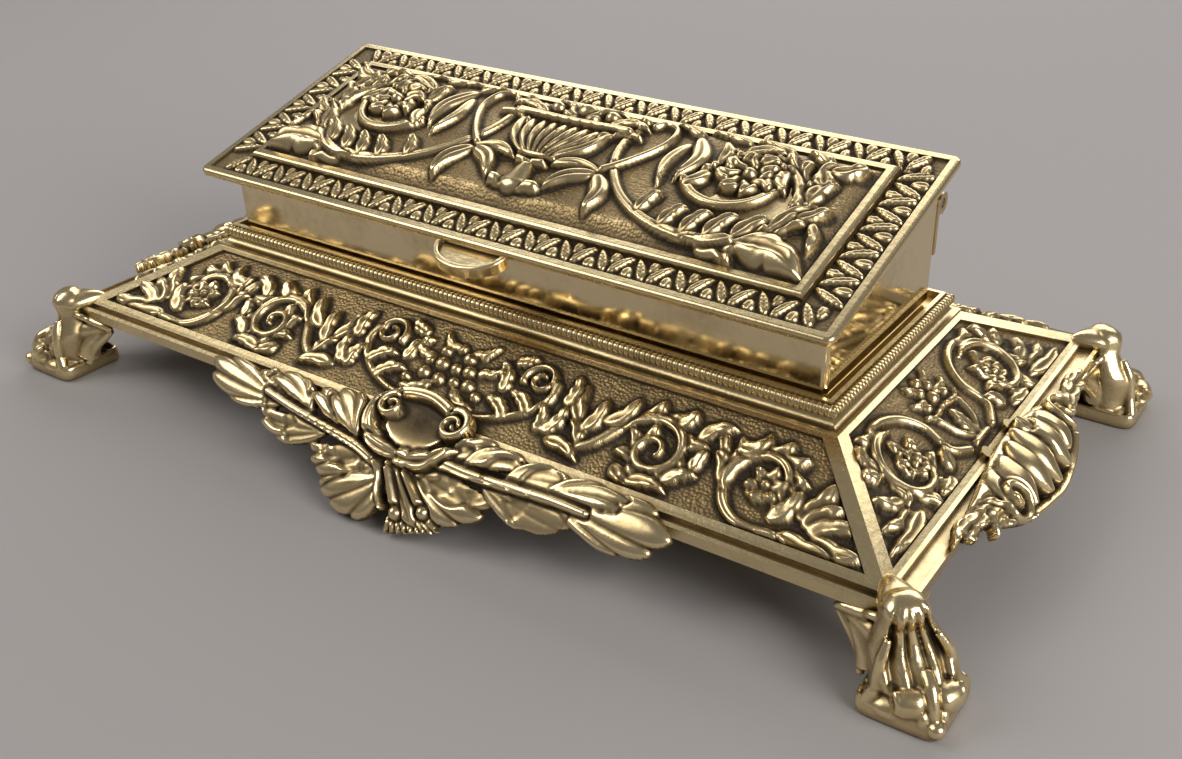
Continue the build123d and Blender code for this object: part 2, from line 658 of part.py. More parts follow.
def make_ramp(index):
    """A curved plate in a compartment, up which a stamp slides to the front."""
    x = (index - (COMPARTMENTS - 1) / 2) * COMPARTMENT_PITCH
    front = INNER_FRONT_Y + RAMP_CLEARANCE
    centre = (RAMP_TANGENT_Y, FLOOR_TOP_Z + RAMP_RADIUS)
    sweep_angle = math.degrees(math.asin((RAMP_TANGENT_Y - front) / RAMP_RADIUS))
    outer = CenterArc(centre, RAMP_RADIUS, -90 - sweep_angle, sweep_angle)
    inner = CenterArc(centre, RAMP_RADIUS - RAMP_THICKNESS, -90 - sweep_angle, sweep_angle)
    end = RAMP_TANGENT_Y + RAMP_FLAT
    section = make_face(
        [
            outer,
            Polyline(outer @ 1, (end, FLOOR_TOP_Z), (end, FLOOR_TOP_Z + RAMP_THICKNESS), inner @ 1),
            inner,
            Line(inner @ 0, outer @ 0),
        ]
    )
    ramp = extrude(Plane.YZ * section, COMPARTMENT_LENGTH / 2 - RAMP_CLEARANCE, both=True)
    return Pos(x, 0, 0) * ramp


# Lid


def lid_block(length, depth, low, high):
    """A level block in the lid's plane, centred on the lid."""
    block = Box(length, depth, high - low, align=(Align.CENTER, Align.CENTER, Align.MIN))
    return Pos(0, LID_MIDDLE, low) * block


def make_lid_plate():
    """The lid casting: beaded edge, sunk border band, frame line, and a crowned field like a cushion."""
    outline = RectangleRounded(LID_LENGTH, LID_DEPTH, LID_CORNER)
    plate = Pos(0, LID_MIDDLE, 0) * extrude(outline, BEAD_THICKNESS)
    edges = plate.faces().sort_by(Axis.Z)[-1].edges() + plate.faces().sort_by(Axis.Z)[0].edges()
    plate = fillet(edges, BEAD_ROUND)
    plate -= lid_block(LID_LENGTH - 2 * BEAD_WIDTH, LID_DEPTH - 2 * BEAD_WIDTH, BAND_THICKNESS, FAR)
    field = lid_block(FIELD_LENGTH, FIELD_DEPTH, LINER_THICKNESS, FIELD_THICKNESS)
    field = fillet(field.faces().sort_by(Axis.Z)[-1].edges(), FIELD_ROUND)
    plate += field
    groove = lid_block(
        FIELD_LENGTH - 2 * FRAME_LINE_WIDTH - 2 * FIELD_ROUND,
        FIELD_DEPTH - 2 * FRAME_LINE_WIDTH - 2 * FIELD_ROUND,
        FIELD_THICKNESS - GROOVE_DEPTH,
        FAR,
    )
    plate -= groove
    cushion_length = FIELD_LENGTH - 2 * (FRAME_LINE_WIDTH + FIELD_ROUND + GROOVE_WIDTH)
    cushion_depth = FIELD_DEPTH - 2 * (FRAME_LINE_WIDTH + FIELD_ROUND + GROOVE_WIDTH)
    groove_z = FIELD_THICKNESS - GROOVE_DEPTH
    levels = []
    for inset, rise in CUSHION_LEVELS:
        level = RectangleRounded(cushion_length - 2 * inset, cushion_depth - 2 * inset, CUSHION_EDGE)
        levels.append(Pos(0, LID_MIDDLE, groove_z + rise) * level)
    plate += loft(levels)
    plate -= liner_blank()
    return at_lid(plate)


def liner_blank():
    """The pocket in the lid's underside, and the plate that fills it."""
    return lid_block(FIELD_LENGTH - 2 * LINER_MARGIN, FIELD_DEPTH - 2 * LINER_MARGIN, 0, LINER_THICKNESS)


def make_liner():
    """The backing plate let into the underside of the lid."""
    return at_lid(liner_blank())


def make_tab():
    """The half-round thumb tab under the lid's front edge."""
    outline = Pos(0, LID_FRONT) * Ellipse(TAB_HALF_WIDTH, TAB_REACH)
    front = Pos(0, LID_FRONT - TAB_REACH) * Rectangle(4 * TAB_HALF_WIDTH, 2 * TAB_REACH)
    tongue = Rectangle(2 * TAB_HALF_WIDTH - 2 * TAB_RIM_WIDTH, TAB_TONGUE)
    tongue = Pos(0, LID_FRONT + TAB_TONGUE / 2) * tongue
    plate = Pos(0, 0, -TAB_THICKNESS) * extrude((outline & front) + tongue, TAB_THICKNESS)
    inner = Pos(0, LID_FRONT) * Ellipse(TAB_HALF_WIDTH - TAB_RIM_WIDTH, TAB_REACH - TAB_RIM_WIDTH)
    rim = extrude((outline - inner) & front, TAB_RIM_RISE)
    rim = fillet(rim.faces().sort_by(Axis.Z)[-1].edges().filter_by(GeomType.ELLIPSE), TAB_RIM_WIDTH * 0.3)
    return at_lid(plate + rim)


# Hinge


def knuckle(index, radius):
    """One knuckle of the barrel, by its place from the left."""
    length = (BOX_LENGTH - (KNUCKLES - 1) * KNUCKLE_GAP) / KNUCKLES
    x = -BOX_LENGTH / 2 + index * (length + KNUCKLE_GAP)
    return cylinder_between((x, HINGE_Y, HINGE_Z), (x + length, HINGE_Y, HINGE_Z), radius)


def knuckle_strip(index, y, low, high):
    """The strip of leaf that runs into one knuckle."""
    length = (BOX_LENGTH - (KNUCKLES - 1) * KNUCKLE_GAP) / KNUCKLES
    x = -BOX_LENGTH / 2 + index * (length + KNUCKLE_GAP)
    strip = Box(length, LEAF_THICKNESS, high - low, align=(Align.MIN, Align.MIN, Align.MIN))
    return Pos(x, y, low) * strip


def hinge_bore(radius):
    """The line of the hinge pin."""
    return cylinder_between((-BOX_LENGTH, HINGE_Y, HINGE_Z), (BOX_LENGTH, HINGE_Y, HINGE_Z), radius)


def rivet_xs():
    """Where the hinge rivets stand along the leaves."""
    return [(index - (HINGE_RIVETS - 1) / 2) * RIVET_PITCH for index in range(HINGE_RIVETS)]


def make_box_leaf():
    """The fixed leaf, riveted to the back wall, with the odd knuckles."""
    clear = BARREL_RADIUS + KNUCKLE_CLEARANCE
    height = BOX_LEAF_HEIGHT - clear
    leaf = Box(BOX_LENGTH, LEAF_THICKNESS, height, align=(Align.CENTER, Align.MIN, Align.MIN))
    leaf = Pos(0, BOX_BACK_Y, HINGE_Z - BOX_LEAF_HEIGHT) * leaf
    for index in range(0, KNUCKLES, 2):
        leaf += knuckle_strip(index, BOX_BACK_Y, HINGE_Z - clear, HINGE_Z)
        leaf += knuckle(index, BARREL_RADIUS)
    leaf -= hinge_bore(PIN_RADIUS + PIN_CLEARANCE)
    return leaf - make_box_rivets(SCREW_CLEARANCE / 2)


def make_lid_leaf():
    """The moving leaf: even knuckles, an upright strip behind the wall and a flange under the lid."""
    clear = BARREL_RADIUS + KNUCKLE_CLEARANCE
    y = HINGE_Y - BARREL_RADIUS
    leaf = Box(BOX_LENGTH, LEAF_THICKNESS, FAR / 8, align=(Align.CENTER, Align.MIN, Align.MIN))
    leaf = Pos(0, y, HINGE_Z + clear) * leaf
    for index in range(1, KNUCKLES, 2):
        leaf += knuckle_strip(index, y, HINGE_Z, HINGE_Z + clear)
        leaf += knuckle(index, BARREL_RADIUS)
    leaf -= above_lid_plane(0)
    back = (y + LEAF_THICKNESS - BOX_FRONT_Y) / math.cos(SLOPE)
    flange = Box(
        INNER_LENGTH - 2 * LID_FLANGE_CLEARANCE,
        LID_FLANGE_DEPTH + LEAF_THICKNESS,
        LEAF_THICKNESS,
        align=(Align.CENTER, Align.MAX, Align.MAX),
    )
    leaf += at_lid(Pos(0, back - LEAF_THICKNESS / 2, 0) * flange)
    leaf -= hinge_bore(PIN_RADIUS + PIN_CLEARANCE)
    return leaf - make_lid_rivets(SCREW_CLEARANCE / 2)


def make_pin():
    """The hinge pin, a plain wire through all the knuckles."""
    half = BOX_LENGTH / 2 - KNUCKLE_GAP
    return cylinder_between((-half, HINGE_Y, HINGE_Z), (half, HINGE_Y, HINGE_Z), PIN_RADIUS)


def make_box_rivets(clearance):
    """Domed rivets through the fixed leaf and the back wall."""
    rivets = Part()
    z = HINGE_Z - (BOX_LEAF_HEIGHT + BARREL_RADIUS + KNUCKLE_CLEARANCE) / 2
    outer = BOX_BACK_Y + LEAF_THICKNESS
    for x in rivet_xs():
        rivets += cylinder_between((x, INNER_BACK_Y, z), (x, outer, z), RIVET_RADIUS + clearance)
        if clearance == 0:
            head = cylinder_between((x, outer, z), (x, outer + RIVET_HEAD_HEIGHT, z), RIVET_HEAD_RADIUS)
            rivets += fillet(head.edges().sort_by(Axis.Y)[-1], RIVET_HEAD_HEIGHT * 0.8)
    return rivets


def make_lid_rivets(clearance):
    """Rivets up through the moving leaf's flange into the lid."""
    rivets = Part()
    back = (INNER_BACK_Y - BOX_FRONT_Y) / math.cos(SLOPE) - RIVET_HEAD_RADIUS * 1.2
    for x in rivet_xs():
        shank = extrude(Circle(RIVET_RADIUS + clearance), LEAF_THICKNESS + BAND_THICKNESS * 0.6)
        rivets += at_lid(Pos(x, back, -LEAF_THICKNESS) * shank)
    return rivets


# Mount rivets


def make_mount_rivets(clearance):
    """Rivets from inside the skirt into the backs of the four mounts, two to each."""
    apron_out = RIM_Y - CARTOUCHE_OFFSET
    shell_out = PANEL_LOW_X - MOUNT_RIVET_RADIUS / 2
    places = (
        (PANEL_TOP_Y, PANEL_RUN_FRONT, apron_out, APRON_RIVET_SPREAD, APRON_X),
        (PANEL_TOP_X, PANEL_RUN_SIDE, shell_out, SHELL_RIVET_SPREAD, 0),
    )
    rivets = Part()
    for side in range(4):
        top_out, run, out, spread, shift = places[side % 2]
        plane = panel_plane(top_out, run, side)
        angle = math.atan2(PANEL_DROP, run)
        normal = plane.z_dir * math.copysign(1, plane.z_dir.Z)
        level = Vector(normal.X, normal.Y, 0).normalized()
        down = level * math.cos(angle) - Vector(0, 0, math.sin(angle))
        for sign in (-1, 1):
            along = plane.x_dir * (sign * spread + shift)
            place = plane.origin + along + down * ((out - top_out) / math.cos(angle))
            start = place - normal * (SKIRT_WALL + MOUNT_RIVET_HEAD)
            end = place + normal * (MOUNT_RISE * 0.55)
            rivets += cylinder_between(tuple(start), tuple(end), MOUNT_RIVET_RADIUS + clearance)
    return rivets


os.makedirs("parts", exist_ok=True)

skirt = make_skirt()
foot_screws = make_foot_screws(0)
mount_rivets = make_mount_rivets(0)
box_screws = make_box_screws(0)
lid_rivets = make_lid_rivets(0)

front_apron = make_apron(skirt) - mount_rivets
back_apron = Rot(0, 0, 180) * make_apron(skirt) - mount_rivets
right_shell = make_shell(skirt) - mount_rivets
left_shell = Rot(0, 0, 180) * make_shell(skirt) - mount_rivets

save(skirt - foot_screws - mount_rivets, "stand_skirt")
save(make_moulding(), "lip_moulding")
save(make_tray() - make_box_screws(SCREW_CLEARANCE), "box_tray")
for name_y, sign_y in (("front", -1), ("back", 1)):
    for name_x, sign_x in (("left", -1), ("right", 1)):
        save(make_foot(sign_x, sign_y, skirt), f"foot_{name_y}_{name_x}")
save(foot_screws, "foot_screws")
save(front_apron, "front_apron")
save(back_apron, "back_apron")
save(right_shell, "right_shell")
save(left_shell, "left_shell")
save(mount_rivets, "mount_rivets")

save(make_walls() - make_box_rivets(0), "box_walls")
save(make_floor() - box_screws, "box_floor")
for index in range(COMPARTMENTS - 1):
    save(make_divider(index), f"divider_{index + 1}")
for index in range(COMPARTMENTS):
    save(make_ramp(index), f"stamp_ramp_{index + 1}")
save(box_screws, "box_screws")

save(make_lid_plate() - lid_rivets, "lid_plate")
save(make_liner() - lid_rivets, "lid_backing")
save(make_tab(), "thumb_tab")
save(make_lid_leaf(), "hinge_lid_leaf")
save(lid_rivets, "lid_leaf_rivets")
save(make_box_leaf(), "hinge_box_leaf")
save(make_pin(), "hinge_pin")
save(make_box_rivets(0), "box_leaf_rivets")
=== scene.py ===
import math
import bpy
import numpy as np
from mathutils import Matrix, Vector


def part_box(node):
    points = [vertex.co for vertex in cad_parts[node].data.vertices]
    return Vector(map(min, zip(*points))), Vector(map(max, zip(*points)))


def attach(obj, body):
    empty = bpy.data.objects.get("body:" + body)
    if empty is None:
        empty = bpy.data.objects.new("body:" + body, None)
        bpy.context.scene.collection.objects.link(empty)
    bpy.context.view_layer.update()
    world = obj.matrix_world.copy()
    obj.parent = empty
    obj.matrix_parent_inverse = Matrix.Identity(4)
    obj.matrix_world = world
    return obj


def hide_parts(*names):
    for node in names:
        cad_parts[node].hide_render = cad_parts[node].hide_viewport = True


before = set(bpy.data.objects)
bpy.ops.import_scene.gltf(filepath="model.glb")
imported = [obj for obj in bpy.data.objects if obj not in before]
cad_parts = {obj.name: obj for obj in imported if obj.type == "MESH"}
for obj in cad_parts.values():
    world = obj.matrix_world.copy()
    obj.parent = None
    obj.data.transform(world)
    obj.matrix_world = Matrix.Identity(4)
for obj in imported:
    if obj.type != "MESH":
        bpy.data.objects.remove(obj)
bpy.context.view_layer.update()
bpy.ops.object.select_all(action="DESELECT")

# Studio
# A pale table under three soft lamps, and a camera where the photographer stood: to the right of
# the box and above it. Lengths are in millimetres here, and become metres where a thing is made.
MM = 0.001
IMAGE_WIDTH = 1182
EYE = Vector((121.98, -159.00, 113.77))
LOOK = Vector((-0.45792, 0.73076, -0.50626))
FOCAL_PIXELS = 1277.5
SENSOR = 36.0
CENTRE_RIGHT = 89.75
CENTRE_DOWN = 21.42
TABLE_SIZE = 4000
LAMP_AIM = Vector((0, 0, 20))
ROOM_COLOUR = (0.62, 0.60, 0.60, 1)
ROOM_STRENGTH = 0.33

camera = bpy.data.objects.new("camera", bpy.data.cameras.new("camera"))
camera.data.sensor_width = SENSOR
camera.data.lens = FOCAL_PIXELS * SENSOR / IMAGE_WIDTH
camera.data.shift_x = -CENTRE_RIGHT / IMAGE_WIDTH
camera.data.shift_y = CENTRE_DOWN / IMAGE_WIDTH
camera.data.clip_start = 10 * MM
camera.location = EYE * MM
camera.rotation_euler = LOOK.to_track_quat("-Z", "Y").to_euler()
bpy.context.scene.collection.objects.link(camera)
bpy.context.scene.camera = camera
bpy.context.scene.view_settings.view_transform = "Standard"

bpy.ops.mesh.primitive_plane_add(size=TABLE_SIZE * MM, location=(0, 0, 0))
table = bpy.context.object
table.name = "table"


def add_lamp(name, place, size, watts, colour):
    """A soft lamp that points at the box."""
    lamp = bpy.data.objects.new(name, bpy.data.lights.new(name, "AREA"))
    lamp.data.shape = "RECTANGLE"
    lamp.data.size = size[0] * MM
    lamp.data.size_y = size[1] * MM
    lamp.data.energy = watts
    lamp.data.color = colour
    lamp.location = Vector(place) * MM
    lamp.rotation_euler = (LAMP_AIM - Vector(place)).to_track_quat("-Z", "Y").to_euler()
    bpy.context.scene.collection.objects.link(lamp)


add_lamp("lamp_back", (-150, 520, 420), (900, 420), 2.9, (1.0, 0.98, 0.95))
add_lamp("lamp_right", (600, -140, 330), (360, 360), 3.9, (1.0, 0.97, 0.92))
add_lamp("lamp_left", (-400, -240, 480), (420, 420), 1.8, (1.0, 0.96, 0.90))

world = bpy.data.worlds.new("room")
world.use_nodes = True
world.node_tree.nodes["Background"].inputs["Color"].default_value = ROOM_COLOUR
world.node_tree.nodes["Background"].inputs["Strength"].default_value = ROOM_STRENGTH
bpy.context.scene.world = world

# Finishes
# The cast brass is antiqued: dark patina lies in the hollows and the high points are rubbed bright; painted
# shade darkens its closed-in corners.
# The sheet brass of the box is polished, with faint wiping marks and a little tarnish.
MIX_FIRST = 6
MIX_SECOND = 7
MIX_RESULT = 2
SHADE_REACH = 2.2
MATTING_RELIEF = -0.15
MATTING_PITCH = 1.9


class Wire:
    """One output of a material's node, so that arithmetic on it reads as arithmetic."""

    def __init__(self, finish, socket):
        self.finish = finish
        self.socket = socket

    def join(self, operation, first, second):
        return self.finish.node("Math", {"operation": operation}, {0: first, 1: second})

    def __add__(self, other):
        return self.join("ADD", self, other)

    __radd__ = __add__

    def __sub__(self, other):
        return self.join("SUBTRACT", self, other)

    def __rsub__(self, other):
        return self.join("SUBTRACT", other, self)

    def __mul__(self, other):
        return self.join("MULTIPLY", self, other)

    def clamp(self):
        return self.finish.node("Clamp", {}, {0: self})


class Finish:
    """A procedural finish, made of nodes that feed one Principled shader."""

    def __init__(self, name):
        self.material = bpy.data.materials.new(name)
        self.material.use_nodes = True
        self.tree = self.material.node_tree
        self.shader = self.tree.nodes["Principled BSDF"]

    def node(self, kind, settings, sockets, output=0):
        node = self.tree.nodes.new("ShaderNode" + kind)
        for name, value in settings.items():
            setattr(node, name, value)
        for name, value in sockets.items():
            self.feed(node.inputs[name], value)
        return Wire(self, node.outputs[output])

    def feed(self, socket, value):
        if isinstance(value, Wire):
            self.tree.links.new(value.socket, socket)
        elif isinstance(value, tuple):
            socket.default_value = (*value, 1)
        else:
            socket.default_value = value

    def set(self, **sockets):
        for name, value in sockets.items():
            self.feed(self.shader.inputs[name.replace("_", " ")], value)

    def place(self):
        return self.node("TexCoord", {}, {}, "Object")

    def noise(self, per_millimetre, detail=3.0, roughness=0.5):
        sockets = {
            "Vector": self.place(),
            "Scale": per_millimetre / MM,
            "Detail": detail,
            "Roughness": roughness,
        }
        return self.node("TexNoise", {}, sockets)

    def mix(self, factor, first, second):
        sockets = {"Factor": factor, MIX_FIRST: first, MIX_SECOND: second}
        return self.node("Mix", {"data_type": "RGBA"}, sockets, MIX_RESULT)

    def spread(self, value, low, high):
        """Stretch a value so that low becomes 0 and high becomes 1."""
        return self.node("MapRange", {}, {"Value": value, "From Min": low, "From Max": high})

    def bump(self, strength, height):
        """Fine relief, with its height in millimetres."""
        sockets = {"Strength": strength, "Distance": MM, "Height": height}
        self.set(Normal=self.node("Bump", {}, sockets, "Normal"))


def make_cast_brass(name, bright, middle, dark, shine, tarnish):
    """Antiqued cast brass, with patina from the carving's own hollows and painted shade in closed-in
    corners.
    """
    finish = Finish(name)
    hollow = finish.node("Attribute", {"attribute_name": "patina"}, {}, "Fac")
    matted = finish.node("Attribute", {"attribute_name": "matted"}, {}, "Fac")
    # Painted shade: ambient occlusion darkens closed-in corners and the joins between parts.
    occlusion = finish.node("AmbientOcclusion", {"samples": 6}, {"Distance": SHADE_REACH * MM}, "AO")
    corner = finish.spread(occlusion, 0.85, 0.35)
    blotch = finish.noise(0.12, 4.0, 0.6)
    fine = finish.noise(1.6, 4.0, 0.65)
    patina_and_shade = (hollow + corner * 0.75 + (blotch - 0.5) * tarnish + (fine - 0.5) * 0.35 * tarnish).clamp()
    rubbed = finish.mix(finish.spread(patina_and_shade, 0.0, 0.42), bright, middle)
    finish.set(Base_Color=finish.mix(finish.spread(patina_and_shade, 0.35, 1.0), rubbed, dark))
    finish.set(Roughness=shine + patina_and_shade * 0.34 + (fine - 0.5) * 0.10)
    finish.set(Metallic=1.0 - finish.spread(patina_and_shade, 0.5, 1.1) * 0.45)
    sockets = {"Vector": finish.place(), "Scale": MATTING_PITCH / MM, "Randomness": 0.8}
    punches = finish.node("TexVoronoi", {"feature": "F1"}, sockets)
    grain = finish.noise(5.0, 2.0, 0.6)
    finish.bump(1.0, punches * matted * MATTING_RELIEF + grain * 0.006 + finish.noise(0.8, 2.0) * 0.03)
    return finish.material


def make_sheet_brass(name, colour, tarnished, shine):
    """Polished sheet brass."""
    finish = Finish(name)
    cloud = finish.noise(0.05, 3.0, 0.55)
    spots = finish.noise(0.55, 4.0, 0.7)
    film = finish.spread(cloud * 0.6 + spots * 0.4, 0.46, 0.72)
    finish.set(Base_Color=finish.mix(film, colour, tarnished))
    finish.set(Roughness=shine + film * 0.12)
    finish.set(Metallic=1.0)
    finish.bump(0.6, finish.noise(0.09, 1.0) * 0.10 + finish.noise(2.5, 3.0, 0.7) * 0.004)
    return finish.material


CAST = make_cast_brass(
    "antiqued_brass", (0.75, 0.61, 0.345), (0.40, 0.295, 0.145), (0.036, 0.025, 0.013), 0.25, 0.6
)
RUBBED = make_cast_brass(
    "rubbed_brass", (0.84, 0.69, 0.405), (0.52, 0.395, 0.20), (0.045, 0.031, 0.016), 0.21, 0.45
)
SHEET = make_sheet_brass("polished_brass", (0.80, 0.655, 0.395), (0.52, 0.41, 0.22), 0.06)
INNER = make_sheet_brass("inner_brass", (0.62, 0.48, 0.25), (0.34, 0.25, 0.12), 0.28)
FASTENER = make_sheet_brass("turned_brass", (0.72, 0.57, 0.31), (0.40, 0.29, 0.14), 0.18)
STEEL = make_sheet_brass("drawn_steel", (0.52, 0.51, 0.49), (0.30, 0.28, 0.25), 0.22)

cloth = Finish("pale_table")
cloth.set(Base_Color=(0.32, 0.305, 0.305), Roughness=0.85)
table.data.materials.append(cloth.material)


def dress(finish, *names):
    """Give CAD nodes a finish."""
    for name in names:
        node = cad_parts[name]
        node.data.materials.clear()
        node.data.materials.append(finish)


# Carving
# The cast ornament of the lid and of the stand is low relief: a sheet whose height is worked out
# from stems, leaves and berries laid one over another on the ground, as a chaser would model it.
TARNISH = 0.34
SPIRAL_POINTS = 26
GROOVE_WIDTH = 0.28
GROOVE_DEPTH = 0.55
BROAD_HOLLOW = 0.30
FINE_HOLLOW = 0.10
SHEET_CREASE = 65


def get_places(piece):
    """Where the points of a piece are, as x, y and z in millimetres."""
    flat = np.zeros(len(piece.data.vertices) * 3, np.float32)
    piece.data.vertices.foreach_get("co", flat)
    return flat.reshape(-1, 3).astype(float).T / MM


def set_places(piece, x, y, z):
    """Move the points of a piece."""
    places = np.stack([x, y, z], 1) * MM
    piece.data.vertices.foreach_set("co", places.astype(np.float32).ravel())


def mark(piece, field, values):
    """Keep a number at each point of a piece, for its finish to read."""
    attribute = piece.data.attributes.new(field, "FLOAT", "POINT")
    attribute.data.foreach_set("value", values.astype(np.float32))


def face_outward():
    """Turn every face of the active piece outward."""
    bpy.ops.object.mode_set(mode="EDIT")
    bpy.ops.mesh.select_all(action="SELECT")
    bpy.ops.mesh.normals_make_consistent(inside=False)
    bpy.ops.object.mode_set(mode="OBJECT")


def smooth_line(points, steps=7):
    """A smooth line through a few points."""
    points = np.array(points, float)
    padded = np.vstack([2 * points[0] - points[1], points, 2 * points[-1] - points[-2]])
    pieces = []
    for index in range(len(points) - 1):
        a, b, c, d = padded[index : index + 4]
        t = np.linspace(0, 1, steps, endpoint=False)[:, None]
        curve = 2 * b + (c - a) * t + (2 * a - 5 * b + 4 * c - d) * t**2 + (3 * b - a - 3 * c + d) * t**3
        pieces.append(0.5 * curve)
    return np.vstack(pieces + [points[-1:]])


def spiral(eye, start_radius, end_radius, start, sweep):
    """Points of a spiral about its eye, with angles in degrees."""
    t = np.linspace(0, 1, SPIRAL_POINTS)
    angle = np.radians(start + sweep * t)
    radius = start_radius * (end_radius / start_radius) ** (t**1.15)
    return np.stack([eye[0] + radius * np.cos(angle), eye[1] + radius * np.sin(angle)], 1)


class Carving:
    """Low relief over a ground, on a grid of places given in millimetres."""

    def __init__(self, u, v, ground, shape):
        self.u = u
        self.v = v
        self.ground = ground.copy()
        self.height = ground.copy()
        self.cover = np.zeros_like(u)
        self.shape = shape
        self.tarnish = TARNISH
        self.painted_shade = np.zeros_like(u)
        self.turn_to(1)

    def turn_to(self, side, u=0.0, v=0.0):
        """Draw from here on about a middle at u, v, and mirrored across it where side is -1."""
        self.side = side
        self.middle = (u, v)

    def set_out(self, points):
        return np.array(points, float) * (self.side, 1) + self.middle

    def near(self, line, reach):
        """Places within reach of a line: which they are, their share along it and their distance."""
        low = line.min(0) - reach
        high = line.max(0) + reach
        within = (self.u > low[0]) & (self.u < high[0]) & (self.v > low[1]) & (self.v < high[1])
        which = np.nonzero(within)[0]
        place = np.stack([self.u[which], self.v[which]], 1)
        way = np.diff(line, axis=0)
        lengths = np.hypot(*way.T)
        offset = place[:, None] - line[:-1]
        t = np.clip((offset * way).sum(2) / np.maximum(lengths**2, 1e-9), 0, 1)
        distance = np.linalg.norm(offset - t[..., None] * way, axis=2)
        nearest = distance.argmin(1)
        rows = np.arange(len(which))
        run = (np.cumsum(lengths) - lengths)[nearest] + t[rows, nearest] * lengths[nearest]
        return which, run / lengths.sum(), distance[rows, nearest]

    def lay(self, which, height, inside, distance_out):
        """Lay a form over what is there, with a fine groove round it."""
        outside = ~inside
        gutter = 1 - GROOVE_DEPTH * np.exp(-((distance_out[outside] / GROOVE_WIDTH) ** 2))
        raised = self.height[which[outside]] - self.ground[which[outside]]
        self.height[which[outside]] -= np.maximum(raised, 0) * (1 - gutter)
        within = which[inside]
        top = self.ground[within] + height[inside]
        self.height[within] = np.maximum(self.height[within] * 0.25 + top * 0.75, top)
        self.cover[within] = 1

    def stem(self, points, width, end_width, height, grooved=0.0, point=0.01):
        """A round stem, or one with a groove along it. It narrows over its first share, the point."""
        line = smooth_line(self.set_out(points))
        which, share, aside = self.near(line, width)
        half = (width + (end_width - width) * share) / 2 * np.clip(share / point, 0.1, 1) ** 0.6
        q = aside / half
        body = np.sqrt(np.clip(1 - q**2, 0, 1))
        body *= 1 - grooved * np.exp(-((q / 0.32) ** 2))
        self.lay(which, height * body, q < 1, aside - half)

    def leaf(self, root, tip, width, bend=0.0, height=1.0, lobes=0, depth=0.3, curl=0.35, vein=0.34):
        """A leaf with a midrib, and with a lobed edge and side veins where it has lobes."""
        root, tip = self.set_out([root, tip])
        way = tip - root
        middle = (root + tip) / 2 + np.array([-way[1], way[0]]) * bend * self.side
        line = smooth_line([root, middle, tip], 9)
        which, share, aside = self.near(line, width)
        half = width / 2 * np.sin(np.pi * np.clip(share, 0, 1) ** 0.72) ** 0.75
        if lobes:
            half = half * (1 - depth * (1 - np.abs(np.sin(np.pi * lobes * share))) ** 2.2)
        half = np.maximum(half, 0.05)
        q = aside / half
        body = np.clip(1 - q**2.6, 0, 1) ** 0.5
        body *= 1 - vein * np.exp(-((aside / (0.09 * width + 0.06)) ** 2))
        if lobes:
            body *= 1 + 0.05 * np.cos(2 * np.pi * (lobes * share - 0.8 * q))
        body *= 1 - curl + 2 * curl * share
        body *= np.clip((1 - share) / 0.12, 0, 1) ** 0.4
        self.lay(which, height * body, q < 1, aside - half)

    def leaves(self, rows, fuller, *form):
        """Leaves with rows of root, tip, width and bend. Every width is made fuller by one number."""
        for u, v, tip_u, tip_v, width, bend in rows:
            self.leaf((u, v), (tip_u, tip_v), width * fuller, bend, *form)

    def berry(self, u, v, radius, height):
        """A small dome."""
        u, v = self.set_out((u, v))
        which = np.nonzero((np.abs(self.u - u) < 1.6 * radius) & (np.abs(self.v - v) < 1.6 * radius))[0]
        distance = np.hypot(self.u[which] - u, self.v[which] - v)
        body = np.sqrt(np.clip(1 - (distance / radius) ** 2, 0, 1))
        self.lay(which, height * body, distance < radius, distance - radius)

    def leafy_spiral(self, eye, radius, inner, start, sweep, width, height, leaves, size):
        """A scroll: leaflets along the outside of a spiral stem that narrows towards its eye."""
        line = spiral(eye, radius, inner, start, sweep)
        for index in range(leaves):
            t = 0.04 + 0.62 * index / (leaves - 1)
            at = t * (len(line) - 1)
            low = int(at)
            way = line[low + 1] - line[low]
            root = line[low] + way * (at - low)
            way /= np.hypot(*way)
            out = np.array([way[1], -way[0]])
            scale = size * (1 - 0.45 * t)
            tip = root + (way * 0.82 + out * 0.62) * scale
            self.leaf(root - way * scale * 0.15, tip, scale * 0.62, 0.16, height * 0.9)
        self.stem(line, width, width * 0.45, height, 0.4, 0.12)

    def flower(self, eye, radius, petals, height, twist=0.25):
        """A rosette of curling petals, turned the same way on both sides."""
        for index in range(petals):
            angle = 2 * math.pi * index / petals + 0.4
            ends = []
            for reach, turn in ((0.15 * radius, angle), (radius, angle + twist)):
                ends.append((eye[0] + self.side * reach * math.cos(turn), eye[1] + reach * math.sin(turn)))
            self.leaf(*ends, radius * 0.62, self.side * twist * 0.5, height)
        self.berry(*eye, radius * 0.24, height * 1.1)

    def blur(self, values, passes):
        grid = values.reshape(self.shape)
        for _ in range(passes):
            grid = np.pad(grid, 1, mode="edge")
            grid = (grid[:-2] + 2 * grid[1:-1] + grid[2:]) / 4
            grid = (grid[:, :-2] + 2 * grid[:, 1:-1] + grid[:, 2:]) / 4
        return grid.reshape(-1)

    def finish(self):
        """Soften the tool marks, and work out where patina would stay and where painted shade is laid."""
        self.height = self.blur(self.height, 1)
        broad = np.clip((self.blur(self.height, 16) - self.height) / BROAD_HOLLOW, -1, 1)
        fine = np.clip((self.blur(self.height, 4) - self.height) / FINE_HOLLOW, -1, 1)
        self.matted = np.clip(1 - self.blur(self.cover, 1) * 1.6, 0, 1)
        # The patina also carries painted shade where a carving lays it, as in the cartouche dish.
        patina = self.tarnish + self.painted_shade + 0.42 * broad + 0.30 * fine + 0.22 * self.matted
        self.patina = np.clip(patina, 0, 1)


def flat_ground(height):
    return lambda u, v: np.full_like(u, height)


